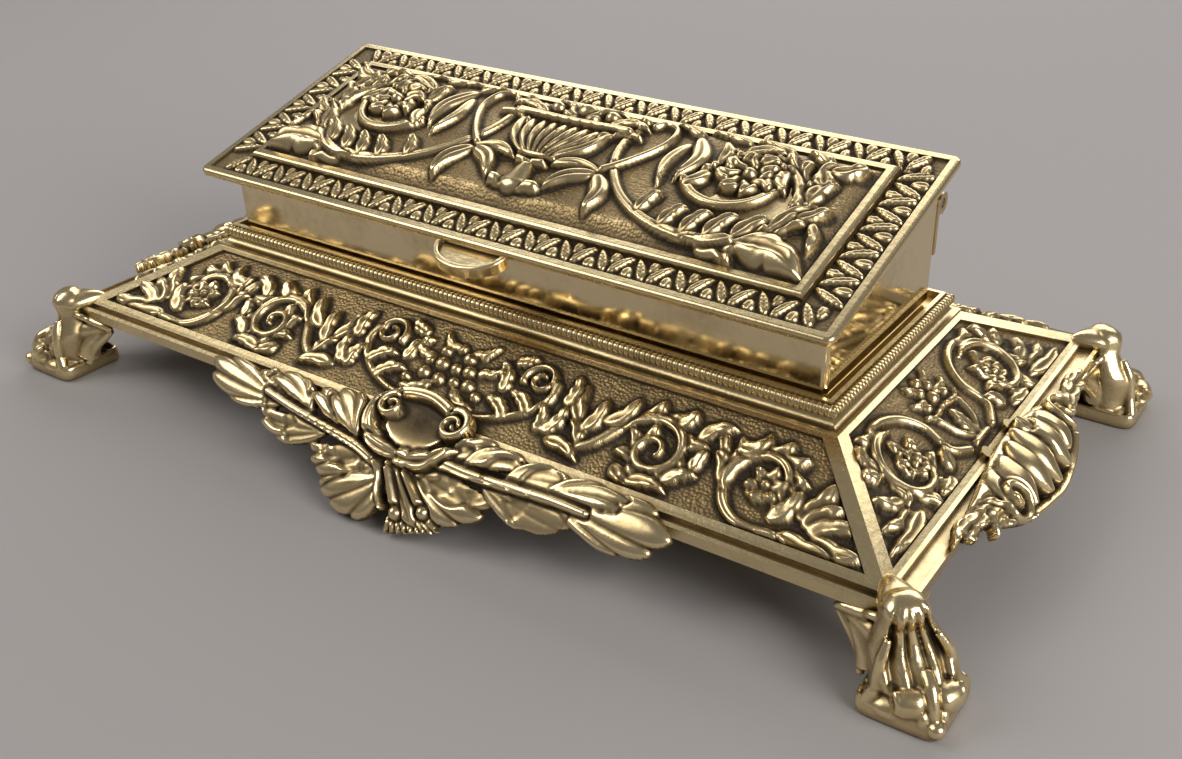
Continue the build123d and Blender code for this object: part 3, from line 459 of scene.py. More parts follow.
def carve_grid(name, columns, rows, outline, ground, carve):
    """A flat grid for a new piece, and the finished carving of its points."""
    bpy.ops.mesh.primitive_grid_add(x_subdivisions=columns, y_subdivisions=rows, size=1)
    piece = bpy.context.object
    piece.name = name
    a, b, _ = get_places(piece) * MM + 0.5
    across = len(np.unique(np.round(a, 5)))
    u, v = outline(a, b)
    carving = Carving(u, v, ground(u, v), (len(a) // across, across))
    carve(carving)
    carving.finish()
    return piece, carving


def finish_piece(piece, crease, finish):
    """Face a piece outward, smooth it up to a crease angle, and give it a finish."""
    face_outward()
    bpy.ops.object.shade_smooth_by_angle(angle=math.radians(crease))
    piece.data.materials.append(finish)
    bpy.ops.object.select_all(action="DESELECT")


def make_sheet(name, columns, rows, outline, ground, carve, place, thickness):
    """A closed sheet with a carved face. The place function sets u, v and height into the frame."""
    sheet, carving = carve_grid(name, columns, rows, outline, ground, carve)
    raised = (carving.height - carving.ground).reshape(carving.shape)
    raised[[0, -1], :] = 0
    raised[:, [0, -1]] = 0
    height = carving.ground + raised.ravel()
    set_places(sheet, *place(carving.u, carving.v, height))
    mark(sheet, "patina", carving.patina)
    mark(sheet, "matted", carving.matted)
    corner = carving.u[:1], carving.v[:1]
    down = np.ravel(place(*corner, -thickness)) - np.ravel(place(*corner, 0))
    bpy.ops.object.mode_set(mode="EDIT")
    bpy.ops.mesh.select_mode(type="VERT")
    bpy.ops.mesh.select_all(action="DESELECT")
    bpy.ops.mesh.select_non_manifold()
    bpy.ops.mesh.extrude_edges_move(TRANSFORM_OT_translate={"value": tuple(down * MM)})
    bpy.ops.mesh.edge_face_add()
    bpy.ops.object.mode_set(mode="OBJECT")
    finish_piece(sheet, SHEET_CREASE, CAST)
    return sheet


# Stand casting
# One brass casting with four sloping panels of carved scrolls, flat mitred bands at the corners and
# a grooved rim. The tray and the lip moulding, with its milled bead, are soldered into its top.
PANEL_DROP = 7.9
RUN_SIDE = 15.7
RUN_FRONT = 17.3
PANEL_EDGE = 0.95
PANEL_BAND = 2.0
PANEL_GAP = 0.03
PANEL_SUNK = 0.52
PANEL_SHEET = 0.35

dress(CAST, "stand_skirt", "lip_moulding")
dress(INNER, "box_tray")
dress(FASTENER, "foot_screws", "box_screws", "mount_rivets")

moulding_low, moulding_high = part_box("lip_moulding")
skirt_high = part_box("stand_skirt")[1]
PANEL_TOP_X = moulding_high.x / MM
PANEL_TOP_Y = moulding_high.y / MM
PANEL_TOP_Z = moulding_low.z / MM
RIM_X = skirt_high.x / MM
RIM_Y = skirt_high.y / MM


def turn_place(along, reach, z, degrees):
    """A place along the front and out from the middle, turned about the middle to another side."""
    c, s = math.cos(math.radians(degrees)), math.sin(math.radians(degrees))
    return along * c + reach * s, along * s - reach * c, z


def copy_piece(piece, name, sign_x, sign_y):
    """A copy of a piece for another side or corner of the object, turned or mirrored by its signs."""
    twin = piece.copy()
    twin.data = piece.data.copy()
    twin.name = name
    bpy.context.scene.collection.objects.link(twin)
    x, y, z = get_places(twin)
    set_places(twin, x * sign_x, y * sign_y, z)
    if sign_x * sign_y < 0:
        twin.data.flip_normals()
    twin.data.update()
    return twin


def ride(piece, body, slot, *nodes):
    """Fix a piece to its body, and let it stand for CAD nodes where it does. Its slot, the name of its
    finish, is not used.
    """
    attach(piece, body)
    if nodes:
        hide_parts(*nodes)


def make_panel(name, columns, rows, half, out, run, widening, turn, carve):
    """The carved field of a sloping panel. Turn is 0 for the front panel and 90 for the right one."""
    length = math.hypot(run, PANEL_DROP)
    angle = math.atan2(PANEL_DROP, run)
    spread = widening / length
    band = PANEL_BAND * math.hypot(1, spread) + PANEL_GAP

    def outline(a, b):
        v = PANEL_EDGE + (length - 2 * PANEL_EDGE) * b
        return (2 * a - 1) * (half + spread * v - band), v

    def place(u, v, h):
        reach = out + v * math.cos(angle) + h * math.sin(angle)
        return turn_place(u, reach, PANEL_TOP_Z - v * math.sin(angle) + h * math.cos(angle), turn)

    return make_sheet(name, columns, rows, outline, flat_ground(-PANEL_SUNK), carve, place, PANEL_SHEET)


def carve_front(c):
    """Front panel: flower scrolls at the ends, open scrolls inside them, fruit and curls in the middle."""
    for side, shift in ((1, 0.8), (-1, -0.3)):
        c.turn_to(side, shift)
        c.stem([(46, 5.2), (47.2, 7.5), (49, 11), (51, 15.2), (54.5, 17.4), (60, 17.2)], 2, 1.4, 1.3, 0.4)
        c.stem([(24, 15.6), (28, 13.4), (31, 9), (34, 6), (38.5, 5)], 1.6, 2, 1.2, 0.3)
        c.leafy_spiral((37.3, 11.2), 6, 1.1, 200, 560, 2, 1.4, 9, 5.2)
        c.leafy_spiral((54.6, 10.4), 5.4, 2.4, 150, 330, 2, 1.4, 8, 5.4)
        c.flower((55.2, 10.6), 3.3, 6, 1.35)
        c.leaves((
            (61.5, 14, 64.4, 6.6, 2.2, 0.1), (62.5, 14.8, 67.2, 10.2, 2, -0.05),
            (63.5, 15.4, 70.2, 12.6, 2, -0.08), (64.5, 16, 72.6, 16.6, 2.2, 0.08),
            (60, 16.6, 68.5, 17.6, 1.8, 0.06), (57.6, 15.6, 60.6, 9.4, 1.9, 0.12),
        ), 1.7, 1.4, 2, 0.22)
        c.leaves((
            (33, 15, 37.4, 17.8, 1.7, 0.1), (36, 17, 42.6, 16.8, 1.7, -0.1),
            (41, 15.6, 45.6, 12.6, 1.6, -0.12), (44.2, 12.4, 45.4, 8.4, 1.5, -0.1),
            (42.6, 7.4, 47.6, 3.6, 1.8, -0.15), (38.6, 6, 40.6, 2.6, 1.6, 0.15),
            (48.6, 6.4, 52.6, 3.4, 1.8, 0.2), (26, 14, 22.6, 10.4, 1.6, 0.15),
            (25.4, 12, 26.6, 5.4, 1.9, 0.1), (24.4, 10.6, 22.2, 4, 1.9, -0.15),
            (27.8, 9.6, 31.4, 3.4, 1.9, 0.15), (20.6, 15, 27.4, 16.8, 1.8, -0.1),
        ), 1.6, 1.35, 2, 0.20)
        c.stem(spiral((14.6, 6.2), 3.1, 0.9, 150, 500), 1.5, 0.9, 1.3)
        c.stem([(17.4, 5.4), (17.6, 9), (14.6, 12.6), (9.6, 15.2), (5, 16.2)], 1.6, 0.9, 1.2, 0.3)
        for ends in (
            ((18.6, 14.6), (17.4, 9.6)), ((19.6, 14.4), (21.2, 8.6)), ((8.2, 4.2), (12, 2.4)),
            ((9.4, 10.2), (6.4, 4.6)), ((15.6, 12), (10.6, 9.4)), ((12.6, 14), (7.4, 11.6)),
            ((20.4, 9), (20, 3)),
        ):
            c.leaf(*ends, 2.8, 0.12, 1.25, 3, 0.35)
    c.turn_to(1)
    for fruit in (
        (-3.4, 6.2, 1.1), (-1, 5, 1), (1.4, 6.4, 1.2), (3.6, 5.2, 0.9), (-5.2, 8.4, 1), (-2.6, 8.6, 1.3),
        (0.4, 8.8, 1.1), (2.8, 8.6, 1.2), (5.2, 8, 1), (-4.6, 11, 1.2), (-1.4, 11.4, 1.2), (1.6, 11.2, 1),
        (4.2, 11, 1.2), (-3, 13.2, 0.9), (3, 13.4, 0.9), (6.6, 12.4, 0.9), (-7, 12.8, 0.9),
    ):
        c.berry(*fruit, 1.15)
    for side in (1, -1):
        c.turn_to(side)
        c.leaf((2, 12), (7.6, 14.6), 2.2, 0.15, 1.1, 3)
        c.leaf((1, 5), (5.4, 2.4), 1.8, 0.2, 1, 3)
        c.leaf((4.4, 7.6), (8.8, 6), 1.9, 0.2, 1, 3)


def carve_side(c):
    """Side panel: a small urn with fruit, a scroll on each side, and leaf sprays in the corners."""
    for side in (1, -1):
        c.turn_to(side, -1)
        c.stem([(4, 15.2), (7.6, 12.6), (7.4, 8), (9.6, 4.4), (14, 2.6), (19.6, 3.6)], 1.4, 1.4, 1.1, 0.3)
        c.leafy_spiral((16.4, 10.2), 6.3, 1.4, 240, 520, 1.9, 1.35, 8, 5)
        c.flower((15.6, 10.4), 2.6, 6, 1.3)
        c.leaves((
            (22, 7.4, 20.6, 2.4, 1.8, 0.15), (22.8, 8.4, 25.4, 5.6, 1.7, -0.1),
            (23.2, 12.4, 27.2, 8.8, 1.8, 0.15), (23.4, 14, 30.6, 12.4, 1.8, 0.12),
            (22, 15, 33.4, 15.4, 1.9, 0.06), (10.6, 15, 8, 11.6, 1.7, 0.15),
            (12, 15.4, 17.4, 15.6, 1.6, 0.1),
        ), 1.6, 1.35, 2, 0.20)
        c.leaf((0.6, 3.4), (3.4, 1.6), 1.5, 0.2, 1)
        c.leaf((1.6, 5.4), (5.4, 4.4), 1.6, 0.2, 1)
        c.berry(1.4, 4.2, 0.9, 1.1)
        c.berry(3, 6.6, 0.8, 1)
        c.stem([(0, 7.9), (3.6, 8.2), (5, 7.4)], 1.1, 0.7, 1)
        c.stem([(3.8, 8.6), (2.8, 12), (0.8, 14)], 1.3, 1, 0.8)
    c.turn_to(1, -1)
    c.berry(0, 6, 1.2, 1.15)
    c.berry(0, 2.8, 1, 1.1)
    c.leaf((0, 14.2), (0, 8.6), 3, 0, 0.9, 4, 0.2)
    c.stem([(-2.4, 15), (2.4, 15)], 1, 1, 0.9)


front_relief = make_panel(
    "front_panel_relief", 560, 66, PANEL_TOP_X, PANEL_TOP_Y, RUN_FRONT, RUN_SIDE, 0, carve_front
)
right_relief = make_panel(
    "right_panel_relief", 280, 62, PANEL_TOP_Y, PANEL_TOP_X, RUN_SIDE, RUN_FRONT, 90, carve_side
)
for relief in (
    front_relief,
    right_relief,
    copy_piece(front_relief, "back_panel_relief", -1, -1),
    copy_piece(right_relief, "left_panel_relief", -1, -1),
):
    ride(relief, "stand", "cast_brass")

BEAD_OUT = 1.1
BEAD_UP = 2.5
BEAD_RADIUS = 0.86
BEAD_RIB = 0.10
BEAD_PITCH = 0.95
BEAD_RINGS_PER_RIB = 7
BEAD_PATINA = 0.42
RECESS_X = 58.95
RECESS_Y = 19.85


def shape_ball(segments, rings, shape):
    """A closed form made from a ball: shape turns its angles round and its shares down into places."""
    bpy.ops.mesh.primitive_uv_sphere_add(segments=segments, ring_count=rings, radius=1)
    form = bpy.context.object
    x, y, z = get_places(form) * MM
    set_places(form, *shape(np.arctan2(y, x), np.arccos(np.clip(z, -1, 1)) / math.pi))
    return form


def make_bead(name, half_length, reach, turn):
    """A run of the lip's milled bead: a thin bar with fine ribs across it."""
    def wave(along):
        return np.cos(2 * math.pi * along / BEAD_PITCH)

    def shape(around, down):
        along = (2 * down - 1) * half_length
        radius = (BEAD_RADIUS + BEAD_RIB * wave(along)) * np.minimum(np.sin(math.pi * down) * 1000, 1)
        height = PANEL_TOP_Z + BEAD_UP + radius * np.sin(around)
        return turn_place(along, reach + radius * np.cos(around), height, turn)

    bead = shape_ball(20, round(half_length * 2 / BEAD_PITCH * BEAD_RINGS_PER_RIB), shape)
    bead.name = name
    x, y, _ = get_places(bead)
    spin = math.radians(turn)
    mark(bead, "patina", BEAD_PATINA - 0.34 * wave(x * math.cos(spin) + y * math.sin(spin)))
    bpy.ops.object.shade_smooth()
    bead.data.materials.append(CAST)
    ride(bead, "stand", "cast_brass")


for name, half_length, reach, turn in (
    ("front", RECESS_X + BEAD_OUT, RECESS_Y + BEAD_OUT, 0),
    ("right", RECESS_Y + BEAD_OUT, RECESS_X + BEAD_OUT, 90),
    ("back", RECESS_X + BEAD_OUT, RECESS_Y + BEAD_OUT, 180),
    ("left", RECESS_Y + BEAD_OUT, RECESS_X + BEAD_OUT, 270),
):
    make_bead(f"lip_{name}_bead", half_length, reach, turn)

# Box and hinge
# Walls of polished sheet brass, screwed down to the tray, with a plainer floor, dividers and stamp
# ramps inside. The brass leaves of the hinge are riveted on, and turn on a steel pin.
dress(SHEET, "box_walls")
dress(INNER, "box_floor", "divider_1", "divider_2", "stamp_ramp_1", "stamp_ramp_2", "stamp_ramp_3")
dress(INNER, "hinge_box_leaf", "hinge_lid_leaf")
dress(FASTENER, "lid_leaf_rivets", "box_leaf_rivets")
dress(STEEL, "hinge_pin")

# Lid
# A thin casting with a crowned field of scrolls about an urn, inside a raised frame line and a band
# of zigzag leaves. Casting and beaded edge are one piece, soldered to the backing plate; the thumb
# tab at the middle of the front edge is rubbed brighter.
LID_SLOPE = math.radians(16.05)
LID_FOOT = Vector((0, -19.05, 36.61))
LID_MIDDLE = 16.92
FIELD_HALF_LENGTH = 51.9
FIELD_HALF_DEPTH = 14.45
FIELD_LOW = 1.95
FIELD_SHEET = 0.5
SLOPE_WIDTH = 3.0
SLOPE_RISE = 1.5
CROWN_RISE = 0.9

dress(CAST, "lid_plate")
dress(INNER, "lid_backing")
dress(RUBBED, "thumb_tab")


def lid_place(u, v, h):
    """Sets a place on the lid into the frame, with v up the slope from the front wall."""
    y = LID_FOOT.y + v * math.cos(LID_SLOPE) - h * math.sin(LID_SLOPE)
    z = LID_FOOT.z + v * math.sin(LID_SLOPE) + h * math.cos(LID_SLOPE)
    return u, y, z


def field_outline(a, b):
    return (2 * a - 1) * FIELD_HALF_LENGTH, LID_MIDDLE + (2 * b - 1) * FIELD_HALF_DEPTH


def field_ground(u, v):
    """The crowned ground of the field: a short smooth slope at its edges and a gentle swell."""
    x = np.abs(u) / FIELD_HALF_LENGTH
    y = np.abs(v - LID_MIDDLE) / FIELD_HALF_DEPTH
    edge = np.minimum((1 - x) * FIELD_HALF_LENGTH, (1 - y) * FIELD_HALF_DEPTH)
    t = np.clip(edge / SLOPE_WIDTH, 0, 1)
    return FIELD_LOW + SLOPE_RISE * t * t * (3 - 2 * t) + CROWN_RISE * (1 - x**2) * (1 - y**2)


def carve_field(c):
    """Lid field: an urn of fruit, and on each side a stem that winds into a great leafy scroll."""
    for side in (1, -1):
        c.turn_to(side, 0, LID_MIDDLE)
        c.stem(
            [(12, 10.6), (11.6, 4.5), (13.2, -0.8), (18, -6.8), (24.5, -10.6), (31.5, -12), (38.5, -11.2)],
            1.3, 1.9, 1.2, 0.45,
        )
        c.leafy_spiral((34.4, -0.6), 12, 6.6, 262, 300, 2.3, 1.9, 12, 6.4)
        c.stem(spiral((33.6, 3), 8.4, 5, 202, 330), 2, 1.1, 1.8, 0.3)
        c.flower((35, 3.4), 5.6, 8, 1.9, 0.55)
        c.leaves((
            (31, 8.6, 38, 10.4, 2.6, 0.12), (29, 4.6, 27.4, 10.2, 2.4, -0.12),
            (28.6, 2.6, 26, -2.4, 2.4, 0.12), (39.6, 6.6, 42, 1, 2.6, -0.12),
        ), 1.1, 1.5)
        c.leaves((
            (40, -10.6, 52, -13.4, 5.6, 0.1), (22.6, -9.6, 24.8, -4.6, 2.2, 0.1),
            (27.4, -11.2, 30.4, -6.4, 2.4, 0.1), (31.4, -11.6, 34.4, -6.2, 2.4, 0.1),
            (35, -11.2, 38.6, -5.6, 2.6, 0.1), (39, -10.2, 43.4, -4.6, 2.8, 0.1),
            (43.6, -6.8, 47.4, -0.6, 2.8, 0.1), (46, -3.4, 50, 0.6, 2.2, -0.1),
            (45.8, 0.6, 48.4, 6.4, 3, 0.15), (46.6, 4.6, 45.8, 11, 3.4, 0.15),
            (45.6, 8.6, 50.6, 12.2, 3, -0.15), (44.4, 10.4, 39.8, 13, 2.8, -0.15),
            (38, 11.8, 30.6, 13.2, 2.8, -0.12), (30.6, 11.8, 22.6, 13, 2.8, -0.12),
            (22.6, 10.6, 16.2, 12.8, 2.4, -0.12), (48.6, -3.2, 50.4, -9, 1.9, 0.1),
        ), 1.15, 1.5, 2, 0.22)
        c.leaf((22.4, 10.6), (24.2, -1.6), 3.2, 0.16, 1.3)
        c.leaf((21.8, 8.4), (22.6, -3.6), 2.2, -0.1, 1.3)
        c.stem(
            [(8.6, -5.6), (12.6, -2.6), (16.2, 1.8), (18.4, 6.4), (18, 10.6), (15.4, 12), (13.8, 10.4)],
            1.4, 1.0, 1.35, 0.2,
        )
        c.leaves((
            (12, -3.6, 3.4, -4.6, 2.8, -0.12), (12, -4, 5.4, -10.2, 3, -0.14),
            (12.2, -4, 14.8, -12.8, 3.2, 0.16),
        ), 1.1, 1.4)
        c.stem([(3.6, 1.4), (7.2, 4.6), (10.4, 6.6), (13.6, 6.2)], 2.2, 1.1, 1.5)
        for fruit in ((2.2, 9.6, 1.5), (5.4, 10.8, 1.4), (8.4, 9.8, 1.4), (11.4, 11.2, 1.3), (4, 12.6, 1.2)):
            c.berry(*fruit, 1.5)
        c.leaf((1, 9), (7.4, 13), 2.4, 0.2, 1.5, 3)
        c.leaf((6, 8.4), (14, 9), 2.4, 0.15, 1.5, 3)
    c.turn_to(1, 0, LID_MIDDLE)
    c.berry(0, 11.6, 1.9, 1.6)
    for level, half, width in ((6.9, 11, 1.7), (-3.6, 3.4, 1.5), (-5.4, 2.6, 1.3), (-10.6, 4.2, 2.4)):
        c.stem([(-half, level + 0.4), (0, level), (half, level + 0.4)], width, width, 1.7)
    for index in range(9):
        spread = (index - 4) / 4
        c.leaf((spread * 2.6, -3), (spread * 8.8, 6.2), 2.3, -spread * 0.14, 1.65, curl=0.1)
    c.stem([(0, -5.8), (0, -9.8)], 2.6, 4.6, 1.5)


lid_relief = make_sheet(
    "lid_field_relief", 490, 138, field_outline, field_ground, carve_field, lid_place, FIELD_SHEET
)
ride(lid_relief, "lid", "cast_brass")

BEAD_INNER_X = 59.2
BEAD_INNER_FRONT = -3.75
BEAD_INNER_BACK = 37.58
BAND_INNER_X = 53.5
BAND_INNER_FRONT = 0.86
BAND_INNER_BACK = 32.98
BAND_LEVEL = 1.12
BAND_TARNISH = 0.44
BAND_CORNER = 2.6
BAND_SHEET = 0.3
ZIGZAG_PITCH = 6.5


def carve_zigzag(c, start, end, outer, inner, turned):
    """A run of zigzag leaves: feathered blades that lean both ways, and a bud in each opening."""
    c.tarnish = BAND_TARNISH
    count = round((end - start) / ZIGZAG_PITCH)
    pitch = (end - start) / count

    def at(along, across):
        place = (along, outer + (inner - outer) * across)
        return place[::-1] if turned else place

    for index in range(count):
        left = start + index * pitch
        c.leaf(at(left + 0.12 * pitch, 0.04), at(left + 0.50 * pitch, 0.98), 1.7, 0.03, 0.95, 6, 0.22, 0.1)
        c.leaf(at(left + 0.98 * pitch, 0.04), at(left + 0.60 * pitch, 0.98), 1.9, -0.03, 0.95, 6, 0.22, 0.1)
        c.leaf(at(left + 0.56 * pitch, 0.0), at(left + 0.55 * pitch, 0.55), 2.1, 0, 0.8, 0, curl=0)
        c.leaf(at(left + 1.05 * pitch, 1.0), at(left + 1.05 * pitch, 0.45), 1.9, 0, 0.7, 3, curl=0)


def strip_outline(u0, u1, v0, v1):
    return lambda a, b: (u0 + (u1 - u0) * a, v0 + (v1 - v0) * b)


def make_border(name, grid, ends, inset, outer, inner, turned):
    """One side of the band, with its leaves rooted on the outer edge."""
    area = (*ends, *sorted((outer, inner)))
    if turned:
        area = area[2:] + area[:2]
    run = (ends[0] + inset, ends[1] - inset, outer, inner, turned)
    border = make_sheet(
        f"lid_{name}_border", *grid, strip_outline(*area), flat_ground(BAND_LEVEL),
        lambda c: carve_zigzag(c, *run), lid_place, BAND_SHEET,
    )
    ride(border, "lid", "cast_brass")


long_ends = (-BEAD_INNER_X, BEAD_INNER_X)
short_ends = (BAND_INNER_FRONT, BAND_INNER_BACK)
make_border("front", (620, 26), long_ends, BAND_CORNER, BEAD_INNER_FRONT, BAND_INNER_FRONT, False)
make_border("back", (620, 26), long_ends, BAND_CORNER, BEAD_INNER_BACK, BAND_INNER_BACK, False)
make_border("left", (30, 168), short_ends, 0, -BEAD_INNER_X, -BAND_INNER_X, True)
make_border("right", (30, 168), short_ends, 0, BEAD_INNER_X, BAND_INNER_X, True)

# Applied mounts
# The laurel apron with its hollow cartouche and the acanthus shells are cast brass, as thick as a
# coin. Each is riveted over the edge of the rim: it lies on the panel and falls in front of the rim.
MOUNT_BASE = 0.75
MOUNT_BACK = 0.15
MOUNT_STEP = 0.2
MOUNT_FALL = math.radians(56.5)
RIM_FALL = 0.9
RIM_TOP_Z = 12.7
RIM_BEND_START = 0.3
RIM_BEND_LENGTH = 4
MOUNT_TOP = -10
MOUNT_END = 18
MOUNT_CREASE = 60
APRON_AREA = (-43.5, 49, -6.9, 16.2)
APRON_BAND = 2.2
SHELL_AREA = (-28.6, 28.6, -4.6, 8.2)
SHELL_BAND = 3.5
COVER_KEPT = 0.45
CUT_ROUNDS = 12
BLADE_ROOT = 0.75
BLADE_NECK = 0.45
BLADE_FAR = 1.15
BLADE_MARGIN = 0.9
BLADE_SIDE = 0.45
BLADE_SCALLOP = 0.08
BLADE_HEIGHT = 1.5
CARTOUCHE = (2.2, -1.9)
CARTOUCHE_REACH = (6.2, 4.8)
CARTOUCHE_DEPTH = 0.45
CARTOUCHE_SHADE = 0.55


def mount_place(rim_out, band, run, turn):
    """Sets a place on a mount into the frame, with v = 0 on the edge of the rim and running down."""
    steps = np.linspace(MOUNT_TOP, MOUNT_END, 561)
    panel_angle = math.atan2(PANEL_DROP, run)
    rim_angle = math.atan2(RIM_FALL, band)
    bend = np.clip((steps + RIM_BEND_START) / RIM_BEND_LENGTH, 0, 1)
    bend = bend * bend * (3 - 2 * bend)
    over = rim_angle + (MOUNT_FALL - rim_angle) * bend
    angle = np.where(steps < -math.hypot(RIM_FALL, band), panel_angle, over)
    step = steps[1] - steps[0]
    out = np.cumsum(np.cos(angle)) * step
    drop = np.cumsum(np.sin(angle)) * step
    out += rim_out - np.interp(0, steps, out)
    drop -= np.interp(0, steps, drop)

    def place(u, v, h):
        lean = np.interp(v, steps, angle)
        reach = np.interp(v, steps, out) + h * np.sin(lean)
        return turn_place(u, reach, RIM_TOP_Z - np.interp(v, steps, drop) + h * np.cos(lean), turn)

    return place


def cut_round(cover):
    """The grid places that a mount keeps: whole squares only, and none that touch at a corner alone."""
    kept = cover > COVER_KEPT
    for _ in range(CUT_ROUNDS):
        squares = kept[:-1, :-1] & kept[1:, :-1] & kept[:-1, 1:] & kept[1:, 1:]
        fall = squares[:-1, :-1] & squares[1:, 1:] & ~squares[1:, :-1] & ~squares[:-1, 1:]
        rise = ~squares[:-1, :-1] & ~squares[1:, 1:] & squares[1:, :-1] & squares[:-1, 1:]
        kept = np.zeros_like(kept)
        for row, column in np.ndindex(2, 2):
            kept[row : row + squares.shape[0], column : column + squares.shape[1]] |= squares
        touching = np.nonzero(fall | rise)
        if not len(touching[0]):
            break
        for row, column in np.ndindex(3, 3):
            kept[touching[0] + row, touching[1] + column] = True
    return kept


def make_mount(name, area, carve, place):
    """A mount cut out round its leaves, with a flat back."""
    columns = round((area[1] - area[0]) / MOUNT_STEP)
    rows = round((area[3] - area[2]) / MOUNT_STEP)
    ground = flat_ground(MOUNT_BASE)
    mount, carving = carve_grid(name, columns, rows, strip_outline(*area), ground, carve)
    cover = carving.blur(carving.cover, 3).reshape(carving.shape)
    slope_v, slope_u = np.gradient(cover)
    steep = np.maximum(slope_u**2 + slope_v**2, 0.02)
    shift = np.clip((0.5 - cover) / steep, -0.8, 0.8) * (np.abs(cover - 0.5) < 0.3) * MOUNT_STEP * 0.8
    kept = cut_round(cover).ravel()
    u = (carving.u + (shift * slope_u).ravel())[kept]
    v = (carving.v + (shift * slope_v).ravel())[kept]
    mark(mount, "patina", carving.patina)
    bpy.ops.object.mode_set(mode="EDIT")
    bpy.ops.mesh.select_mode(type="VERT")
    bpy.ops.mesh.select_all(action="DESELECT")
    bpy.ops.object.mode_set(mode="OBJECT")
    mount.data.vertices.foreach_set("select", ~kept)
    bpy.ops.object.mode_set(mode="EDIT")
    bpy.ops.mesh.delete(type="VERT")
    bpy.ops.object.mode_set(mode="OBJECT")
    solid = mount.modifiers.new("solid", "SOLIDIFY")
    solid.thickness = MM
    solid.offset = 1
    bpy.ops.object.modifier_apply(modifier="solid")
    set_places(mount, *np.hstack([place(u, v, carving.height[kept]), place(u, v, MOUNT_BACK)]))
    finish_piece(mount, MOUNT_CREASE, RUBBED)
    return mount


def blade(c, root, tips, bend):
    """A broad leaf that spreads from its root to a few tips, with a rib to each and a scalloped edge."""
    root = np.array(root, float)
    ways = np.array(tips, float) - root
    reach = np.hypot(ways[:, 0], ways[:, 1])
    middle = math.atan2(ways[:, 1].sum(), ways[:, 0].sum())
    angles = (np.arctan2(ways[:, 1], ways[:, 0]) - middle + math.pi) % (2 * math.pi) - math.pi
    order = np.argsort(angles)
    angles, reach = angles[order], reach[order]
    margin = BLADE_MARGIN * np.diff(angles).mean()
    far = reach.max() * BLADE_FAR
    which = np.nonzero(np.hypot(c.u - root[0], c.v - root[1]) < far)[0]
    x, y = c.u[which] - root[0], c.v[which] - root[1]
    distance = np.hypot(x, y)
    angle = np.arctan2(y, x) - middle - bend * (distance / far - 0.5)
    angle = (angle + math.pi) % (2 * math.pi) - math.pi
    angle /= BLADE_ROOT + (1 - BLADE_ROOT) * np.clip(distance / far / BLADE_NECK, 0, 1)
    stations = np.concatenate([[angles[0] - margin], angles, [angles[-1] + margin]])
    numbers = np.interp(angle, stations, np.arange(len(stations)))
    lengths = np.concatenate([[reach[0] * BLADE_SIDE], reach, [reach[-1] * BLADE_SIDE]])
    ridge = 1 - (2 * np.abs(numbers - np.round(numbers))) ** 4
    edge = np.interp(angle, stations, lengths) * (1 - BLADE_SCALLOP * (1 - ridge))
    aside = np.minimum(numbers, len(stations) - 1 - numbers)
    q = distance / edge
    inside = (q < 1) & (angle > stations[0]) & (angle < stations[-1])
    body = np.clip(1 - q**6, 0, 1) ** 0.5 * (0.66 + 0.34 * ridge) * np.clip(aside / 0.5, 0, 1) ** 0.5
    body *= 0.62 + 0.60 * np.clip(q, 0, 1) ** 1.5
    c.lay(which, BLADE_HEIGHT * body, inside, np.where(inside, 0, (q - 1) * edge).clip(0))


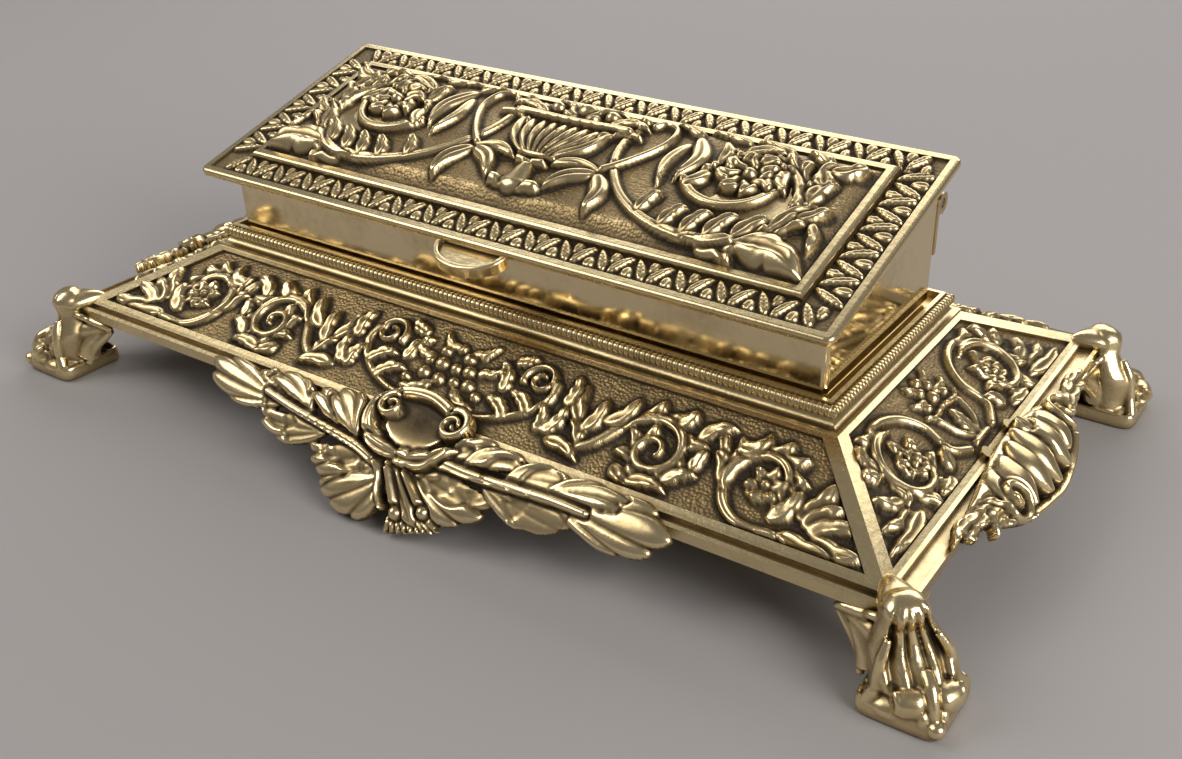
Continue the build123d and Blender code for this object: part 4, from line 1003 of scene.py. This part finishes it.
def carve_apron(c):
    """Front apron: laurel to both sides from a bound middle, with a tassel, a bow and a hollow ring."""
    for laurel in (
        ((-21.4, 2.8), ((-36.8, -0.9), (-41.6, 0.9), (-39.4, 3.8), (-32.2, 5.6)), 0.1),
        ((-11.6, 4), ((-27.4, 6), (-26.2, 8.2), (-20.6, 8.9)), 0.24),
        ((-2, 5), ((-15.6, 8.2), (-14, 10.6), (-9.6, 10.2)), 0.2),
        ((-0.4, 5.6), ((-12.8, 11.2), (-10.6, 13.6), (-5.4, 12.6)), 0.2),
        ((1.6, 6.4), ((-10.6, 14.2), (-7, 15.8), (-1.6, 15.4)), 0.2),
        ((-22.6, 2.6), ((-30.6, -0.8), (-28.6, -2), (-25.4, -0.6)), -0.3),
        ((-16.4, 3.4), ((-27.6, -1.2), (-25.4, -2.8), (-20.4, -1.4)), -0.4),
        ((-9.4, 3.9), ((-18.4, -0.4), (-17, -2.2), (-13, -1.4)), -0.3),
        ((-6.6, 4.4), ((-14.6, -0.6), (-13.6, -3.2), (-9.4, -2.8)), -0.3),
        ((2, 3.6), ((8.8, 11.6), (13.6, 11.8), (18, 10.2), (20, 7.2)), -0.24),
        ((15.6, 2.6), ((23.6, 7.6), (30, 7.6), (34.8, 5.8)), -0.24),
        ((28.4, 2.2), ((39.8, 6.4), (45.6, 5.4), (48.8, 2), (43.4, -1.9)), 0),
        ((9.2, 3.2), ((12.4, -1.8), (15.4, -3.4), (17.2, -1.2)), 0.3),
        ((12.6, 3), ((17.4, -1.8), (20.8, -2.9), (23, -1)), 0.4),
        ((20.2, 2.8), ((25.4, -1.8), (31, -2.3), (31.8, -0.2)), 0.4),
        ((27.2, 2.4), ((33.4, -1.9), (40.2, -2.2), (39.6, 0.2)), 0.3),
    ):
        blade(c, *laurel)
    c.stem([(-1.4, 6.3), (-6.2, 4.9), (-13.4, 3.9), (-19.2, 3.2), (-26.6, 2.2)], 1.9, 1, 2, 0.3)
    c.stem([(3.4, 4.3), (9.4, 3.1), (14.8, 3.1), (20, 2.9), (28.7, 2.5), (35.4, 2.5)], 1.9, 1, 2, 0.3)
    for index in range(9):
        spread = (index - 4) / 4
        root = (4.6 + spread * 0.6, 8.8 - spread * 0.4)
        c.leaf(root, (8.2 + spread * 4.9, 14.6 - spread * 1.6), 1.5, 0, 1.3, curl=0)
    c.leaf((0.4, 3.8), (8.4, 13.2), 5.6, 0.04, 1.7, curl=0)
    c.stem([(0.6, 6), (2.4, 8.6), (4.2, 11.6)], 1.3, 1.9, 1.9)
    c.berry(4.4, 12.2, 1.25, 1.8)
    c.stem([(2.8, 4.6), (5.3, 7), (8.4, 9.8)], 1.2, 1.7, 1.9)
    c.berry(9.2, 10.6, 1.2, 1.8)
    c.stem([(-1.9, 5.7), (-0.2, 7.4), (0.4, 10), (2, 12.2)], 1.6, 0.9, 2.2)
    reach = np.hypot((c.u - CARTOUCHE[0]) / CARTOUCHE_REACH[0], (c.v - CARTOUCHE[1]) / CARTOUCHE_REACH[1])
    dish = np.nonzero(reach < 1)[0]
    c.lay(dish, reach[dish] ** 2 - CARTOUCHE_DEPTH, np.full(len(dish), True), np.zeros(len(dish)))
    # Painted shade: the middle of the cartouche dish is darkened.
    c.painted_shade[dish] = CARTOUCHE_SHADE * (1 - reach[dish] ** 3)
    c.berry(8.2, -2.2, 1.5, 1.3)
    c.berry(-3.6, -2, 1.2, 1.3)
    c.stem(
        [(-0.6, 4.3), (-3.4, 3.2), (-5.9, 1), (-6.5, -1.4), (-5.4, -3.6), (-3.4, -4.9), (-0.6, -5.6),
         (2.2, -5.6), (4.8, -4.9), (6.6, -4.2)],
        2.6, 2.2, 2.0, 0.25,
    )
    c.stem(spiral((8.2, -2.2), 2.8, 1, -120, 470), 1.7, 1, 2.1, 0.2)
    c.stem(spiral((-3.6, -2), 2.3, 0.8, -90, -430), 1.6, 0.9, 2.1, 0.2)
    c.leaf((-0.4, 4.4), (11.6, 0.8), 3.4, 0.1, 2, 3, 0.25)
    c.leaf((1.6, 4.2), (-5.6, 2.6), 2.4, -0.06, 1.9)


def carve_shell(c):
    """Side shell: lobes that fall outward from the edge of the rim, a lip below and curls at both ends."""
    rim = [(-24.6, 0.6), (-18.6, -0.2), (-9, -1.6), (0, -2.5), (9, -1.9), (15, -0.4), (20.6, 0.2)]
    c.stem(rim, 2.6, 2.2, 1)
    for root, tip, width, height in (
        ((-7.4, -1.4), (-13, 4), 6.4, 1.4), ((-5.4, -2), (-8.6, 6), 6, 1.7),
        ((9.8, -1.8), (9.2, 5.6), 6, 1.5), ((-1.6, -2.6), (-3, 7), 5.2, 1.9),
        ((6.2, -2.6), (5.2, 6.8), 5, 2), ((2.2, -3.2), (1, 7.3), 4.6, 1.7),
    ):
        c.leaf(root, tip, width, 0.03, height, curl=0.15, vein=0)
    lip = [(-17.6, 2), (-13.4, 4.2), (-9, 5.8), (-4, 6.7), (0.4, 7.3), (4.2, 6.9), (8.6, 5.6), (12.2, 3.4)]
    c.stem(lip, 1.7, 1.4, 2)
    c.stem(spiral((-11, 2.4), 3.4, 1, 200, -420), 1.6, 0.9, 2)
    c.stem(spiral((14.4, 0.6), 2.8, 1, 120, 420), 1.5, 0.9, 1.9)
    c.leaves((
        (-13.6, 0.8, -21.4, -1, 2.6, -0.1), (-15, 1.6, -24.6, 0.6, 2.6, 0.06),
        (-14.6, 2.2, -20.6, 3.4, 2.2, 0.14), (-19, 0.2, -27.8, 0.2, 2.2, 0.1),
        (16.6, 0.4, 23.8, -1, 2.6, 0.12), (16, 1.6, 24.8, 1.2, 2.4, -0.1), (19, 0.2, 27.8, 0.2, 2.2, -0.1),
    ), 1, 1.5, 3, 0.3)
    c.leaf((4.7, -0.6), (4.9, -4.3), 3.2, 0, 1.7)


for name, twin, area, carve, place in (
    ("front_apron", "back_apron", APRON_AREA, carve_apron, mount_place(RIM_Y, APRON_BAND, RUN_FRONT, 0)),
    ("right_shell", "left_shell", SHELL_AREA, carve_shell, mount_place(RIM_X, SHELL_BAND, RUN_SIDE, 90)),
):
    mount = make_mount(name + "_mount", area, carve, place)
    ride(mount, "stand", "cast_brass", name)
    ride(copy_piece(mount, twin + "_mount", -1, -1), "stand", "cast_brass", twin)

# Feet
# Four cast brass scroll feet, each screwed up under its corner of the rim. A fluted leg sweeps out
# from a rounded knee into two scrolls on a dished square pad; two wings lie along the underside of
# the rim. The forms are melted into one, softened, and mirrored from corner to corner.
FOOT_X = 83.2
FOOT_Y = -42.4
PAD_SIDE = 12.0
FOOT_GRAIN = 0.2
TOE_SPLAY = 0.35
FOOT_PATINA = 0.24
LEG_END = 0.05
BAR_END = 0.08
# How strongly hollows darken a foot: share, passes, depth.
HOLLOW_TABLE = ((0.45, 24, 0.28), (0.30, 5, 0.09))
# Down the leg: height, middle, back, front, half width.
LEG_TABLE = (
    (15.7, -1.4, -2.8, -2, 0.6), (15.5, -1.4, -3.4, -1.2, 1.5), (15.1, -1.4, -3.9, -0.3, 2.2),
    (14.5, -1.4, -4.3, 0.4, 2.8), (13.7, -1.4, -4.5, 0.8, 3.1), (12.7, -1.3, -4.7, 0.6, 3.2),
    (11.6, -1.1, -4.9, 0.3, 3.5), (10, -0.8, -5, 0.8, 4.2), (8.4, -0.6, -4.8, 1.7, 5.1),
    (7.3, -0.55, -4.6, 3.2, 5.3), (6, -0.5, -4.6, 4.4, 5.3), (4.4, -0.4, -4.6, 4, 5.2),
    (3, -0.2, -4.6, 2.6, 5.2), (0.6, 0, -4.6, 1.8, 5.4),
)
# Across the leg: place, width, depth.
FLUTE_TABLE = ((-0.66, 0.09, 1.5), (-0.23, 0.06, 1.1), (0.20, 0.06, 1.1), (0.62, 0.09, 1.5))
# From the top of the pad round to its underside: share, reach, height.
PAD_TABLE = (
    (0, 0, 0.9), (0.2, 0.66, 0.9), (0.28, 0.74, 1.5), (0.32, 0.77, 1.8), (0.36, 0.8, 1.4),
    (0.4, 0.825, 1.5), (0.46, 0.88, 2.5), (0.53, 0.93, 2.8), (0.6, 0.98, 2.4), (0.68, 1, 1.4),
    (0.76, 0.985, 0.4), (0.82, 0.93, 0), (1, 0, 0),
)


def round_ends(down, share):
    """How full a form is, from 0 at its ends to 1 where each rounded end has taken up its share."""
    cap = np.clip(np.minimum(down, 1 - down) / share, 0, 1)
    return np.sqrt(np.clip(1 - (1 - cap) ** 2, 0, 1))


def raise_to(value, power):
    """A power that keeps the sign."""
    return np.sign(value) * np.abs(value) ** power


def shape_leg(around, down):
    """The leg: broad rounded sections with flutes down the front."""
    cap = round_ends(down, LEG_END)
    height, middle, back, front, half = np.array(LEG_TABLE)[::-1].T
    z = height[-1] + (height[0] - height[-1]) * np.clip((down - LEG_END) / (1 - 2 * LEG_END), 0, 1)
    low, high, side, wide = (np.interp(z, height, column) for column in (back, front, middle, half))
    across = raise_to(np.sin(around), 0.8)
    forward = raise_to(np.cos(around), 0.8)
    depth = np.zeros_like(z)
    fade = np.clip((15.4 - z) / 2.6, 0, 1) * np.clip((z - 4.2) / 1.5, 0, 1) * (np.cos(around) > 0)
    for place, width, deep in FLUTE_TABLE:
        spread = width * (1 + 0.5 * np.clip((12 - z) / 7, 0, 1))
        depth = np.maximum(depth, deep * np.exp(-(((across - place) / spread) ** 2)))
    out = (low + high) / 2 + forward * cap * (high - low) / 2 - depth * fade * cap
    return out, side + across * wide * cap, z


def shape_pad(around, down):
    """The pad: a rounded square tray with a double raised edge, turned so that a corner leads."""
    c, s = np.cos(around), np.sin(around)
    share, reach, height = np.array(PAD_TABLE).T
    reach = np.interp(down, share, reach) * PAD_SIDE / 2 / (np.abs(c) ** 7 + np.abs(s) ** 7) ** (1 / 7)
    x, y = c * reach, s * reach
    return (x + y) / math.sqrt(2), (y - x) / math.sqrt(2), np.interp(down, share, height)


def set_down(place, a, b, h, turn):
    """Forward, aside and up from a place in the foot's own frame, turned on the spot."""
    c, s = math.cos(turn), math.sin(turn)
    return place[0] + a * c - b * s, place[1] + a * s + b * c, place[2] + h


def shape_blob(place, size, turn=0.0, lean=0.0, taper=0.0):
    """A rounded form in the foot's own frame: place and size as out, side, height."""
    def shape(around, down):
        ring = np.sin(down * math.pi)
        a = size[0] * ring * np.cos(around)
        b = size[1] * ring * np.sin(around) * (1 + taper * a / size[0])
        h = size[2] * np.cos(down * math.pi)
        c, s = math.cos(lean), math.sin(lean)
        return set_down(place, a * c - h * s, b, a * s + h * c, turn)
    return shape


def shape_barrel(place, radius, half_length, turn):
    """A short barrel lying across the toe, in the foot's own frame."""
    def shape(around, down):
        ring = radius * np.sin(down * math.pi) ** 0.6
        aside = half_length * raise_to(np.cos(down * math.pi), 0.6)
        return set_down(place, ring * np.cos(around), aside, ring * np.sin(around), turn)
    return shape


def shape_tube(points, sizes):
    """A round bar along a smooth line, in the foot's own frame, with a size at each point."""
    line = smooth_line(points, 6)
    steps = np.arange(len(line))
    size = np.interp(np.linspace(0, 1, len(line)), np.linspace(0, 1, len(sizes)), sizes)
    way = np.gradient(line, axis=0)
    way /= np.linalg.norm(way, axis=1)[:, None]
    first = np.cross(way, (0.13, 0.21, 0.97))
    first /= np.linalg.norm(first, axis=1)[:, None]
    second = np.cross(way, first)

    def shape(around, down):
        at = np.clip((down - BAR_END) / (1 - 2 * BAR_END), 0, 1) * (len(line) - 1)
        radius = np.interp(at, steps, size) * round_ends(down, BAR_END)
        for middle, a, b in zip(line.T, first.T, second.T):
            a, b = np.interp(at, steps, a), np.interp(at, steps, b)
            yield np.interp(at, steps, middle) + radius * (a * np.cos(around) + b * np.sin(around))
    return shape


def scroll_line(place, radius, turns, side, reach):
    """Points of a scroll that winds in towards its eye, on the outer end of a toe barrel."""
    points = []
    for t in np.arange(15) / 14:
        angle = 0.5 * math.pi - turns * 2 * math.pi * t
        r = radius * (1 - 0.72 * t)
        out, height = place[0] + r * math.cos(angle), place[2] + r * math.sin(angle)
        points.append((out, place[1] + side * (reach - 0.3 * t), height))
    return points


def corner_line(points, side):
    """Points given as along the rim, out from its edge and height, from the rim's corner to one side."""
    line = []
    for along, out, height in points:
        x = RIM_X - FOOT_X + (-along if side < 0 else out)
        y = -RIM_Y - FOOT_Y + (-out if side < 0 else along)
        line.append(((x - y) / math.sqrt(2), (x + y) / math.sqrt(2), height))
    return line


def hollows(piece, passes, scale):
    """How hollow each place of a mesh is: below 0 on a ridge and above 0 in a groove."""
    mesh = piece.data
    count = len(mesh.vertices)
    places = get_places(piece).T
    normals = np.zeros(count * 3, np.float32)
    mesh.vertices.foreach_get("normal", normals)
    ends = np.zeros(len(mesh.edges) * 2, np.int32)
    mesh.edges.foreach_get("vertices", ends)
    a, b = ends.reshape(-1, 2).T
    links = np.maximum(np.bincount(a, minlength=count) + np.bincount(b, minlength=count), 1)
    smooth = places
    for _ in range(passes):
        total = [np.bincount(a, line[b], count) + np.bincount(b, line[a], count) for line in smooth.T]
        smooth = (smooth + np.stack(total, 1) / links[:, None]) / 2
    return np.clip(((smooth - places) * normals.reshape(-1, 3)).sum(1) / scale, -1, 1)


forms = [
    shape_ball(160, 110, shape_leg),
    shape_ball(128, 60, shape_pad),
    shape_ball(48, 32, shape_blob((-4.2, -1.5, 13.3), (4.4, 2.8, 1.75), 0, -0.04, 0.5)),
    shape_ball(48, 32, shape_blob((-2, -1.4, 13.9), (1.9, 2.7, 1.2), 0, 0.1)),
    shape_ball(48, 32, shape_blob((0.6, -0.2, 2), (4.8, 6.4, 2.4))),
    shape_ball(48, 32, shape_blob((7.2, 0.1, 1.9), (1.2, 1.2, 1.1), 0, 0.3)),
]
bars = [(48, [(2.6, 0, 7.2), (4.6, 0, 6.1), (5.8, 0, 4.6), (6.4, 0, 2.8)], (0.8, 0.95, 0.8, 0.8))]
for side in (1, -1):
    splay = side * TOE_SPLAY
    forms += [
        shape_ball(64, 60, shape_barrel((4.3, side * 2.35, 4.15), 1.95, 1.9, splay)),
        shape_ball(32, 24, shape_blob((6.1, side * 1.3, 2.7), (0.8, 0.75, 1.2), splay, 0.2)),
    ]
    side_leaf = [
        (0, side * 3.2 - 0.9, 10.8), (0.6, side * 4.3 - 0.6, 8.6), (0.9, side * 4.8 - 0.5, 6.4),
        (0.9, side * 5.2 - 0.3, 4.2), (0.6, side * 6.4, 2.2),
    ]
    bars += [
        (48, scroll_line((3.7, 0, 4.15), 1.55, 1.3, side, 4.2), (0.45, 0.4, 0.3)),
        (40, side_leaf, (0.5, 0.75, 0.85, 0.9, 0.9)),
    ]
    for rings, points, sizes in (
        (48, [(9.6, -0.9, 9.4), (8.2, -0.5, 10.1), (6.2, -0.3, 10.3), (4.6, -0.1, 10.6)],
         (0.5, 0.75, 0.8, 0.8)),
        (48, [(9.4, -1, 9.2), (7.6, -0.5, 7.6), (6, 0.2, 6.2), (4.8, 1, 4.4), (4.4, 1.8, 2.4)],
         (0.45, 0.7, 0.8, 0.75, 0.6)),
        (48, [(8.6, -1, 9.6), (6.8, -0.8, 9.1), (4.8, -0.5, 8.6), (3, -0.2, 8.2)], (0.5, 1.1, 1.6, 2.1)),
        (48, [(6.8, -0.6, 8.4), (5.4, -0.2, 7.2), (4, 0.4, 5.6), (3.4, 0.9, 3.6)], (0.8, 1.4, 1.8, 2)),
        (32, [(5.2, -0.2, 10.4), (4.2, 0.7, 11.3), (2.6, 1, 11.8), (1.6, 1.2, 13.4)], (0.55, 0.6, 0.6, 0.7)),
    ):
        bars.append((rings, corner_line(points, side), sizes))
for rings, points, sizes in bars:
    forms.append(shape_ball(32, rings, shape_tube(points, sizes)))

bpy.ops.object.select_all(action="DESELECT")
for form in forms:
    form.select_set(True)
bpy.context.view_layer.objects.active = forms[0]
bpy.ops.object.join()
foot = bpy.context.object
foot.name = "foot_front_right_cast"
foot.data.name = foot.name
melt = foot.modifiers.new("melt", "REMESH")
melt.mode = "VOXEL"
melt.voxel_size = FOOT_GRAIN * MM
bpy.ops.object.modifier_apply(modifier="melt")
soften = foot.modifiers.new("soften", "SMOOTH")
soften.factor = 0.5
soften.iterations = 3
bpy.ops.object.modifier_apply(modifier="soften")
out, aside, height = get_places(foot)
set_places(
    foot, FOOT_X + (out + aside) / math.sqrt(2), FOOT_Y + (aside - out) / math.sqrt(2), np.maximum(height, 0)
)
face_outward()
patina = FOOT_PATINA
for share, passes, depth in HOLLOW_TABLE:
    patina = patina + share * hollows(foot, passes, depth)
mark(foot, "patina", np.clip(patina, 0, 1))
bpy.ops.object.shade_smooth()
foot.data.materials.clear()
foot.data.materials.append(RUBBED)
ride(foot, "stand", "cast_brass", "foot_front_right")
for name, sign_x, sign_y in (("front_left", -1, 1), ("back_right", 1, -1), ("back_left", -1, -1)):
    ride(copy_piece(foot, f"foot_{name}_cast", sign_x, sign_y), "stand", "cast_brass", f"foot_{name}")
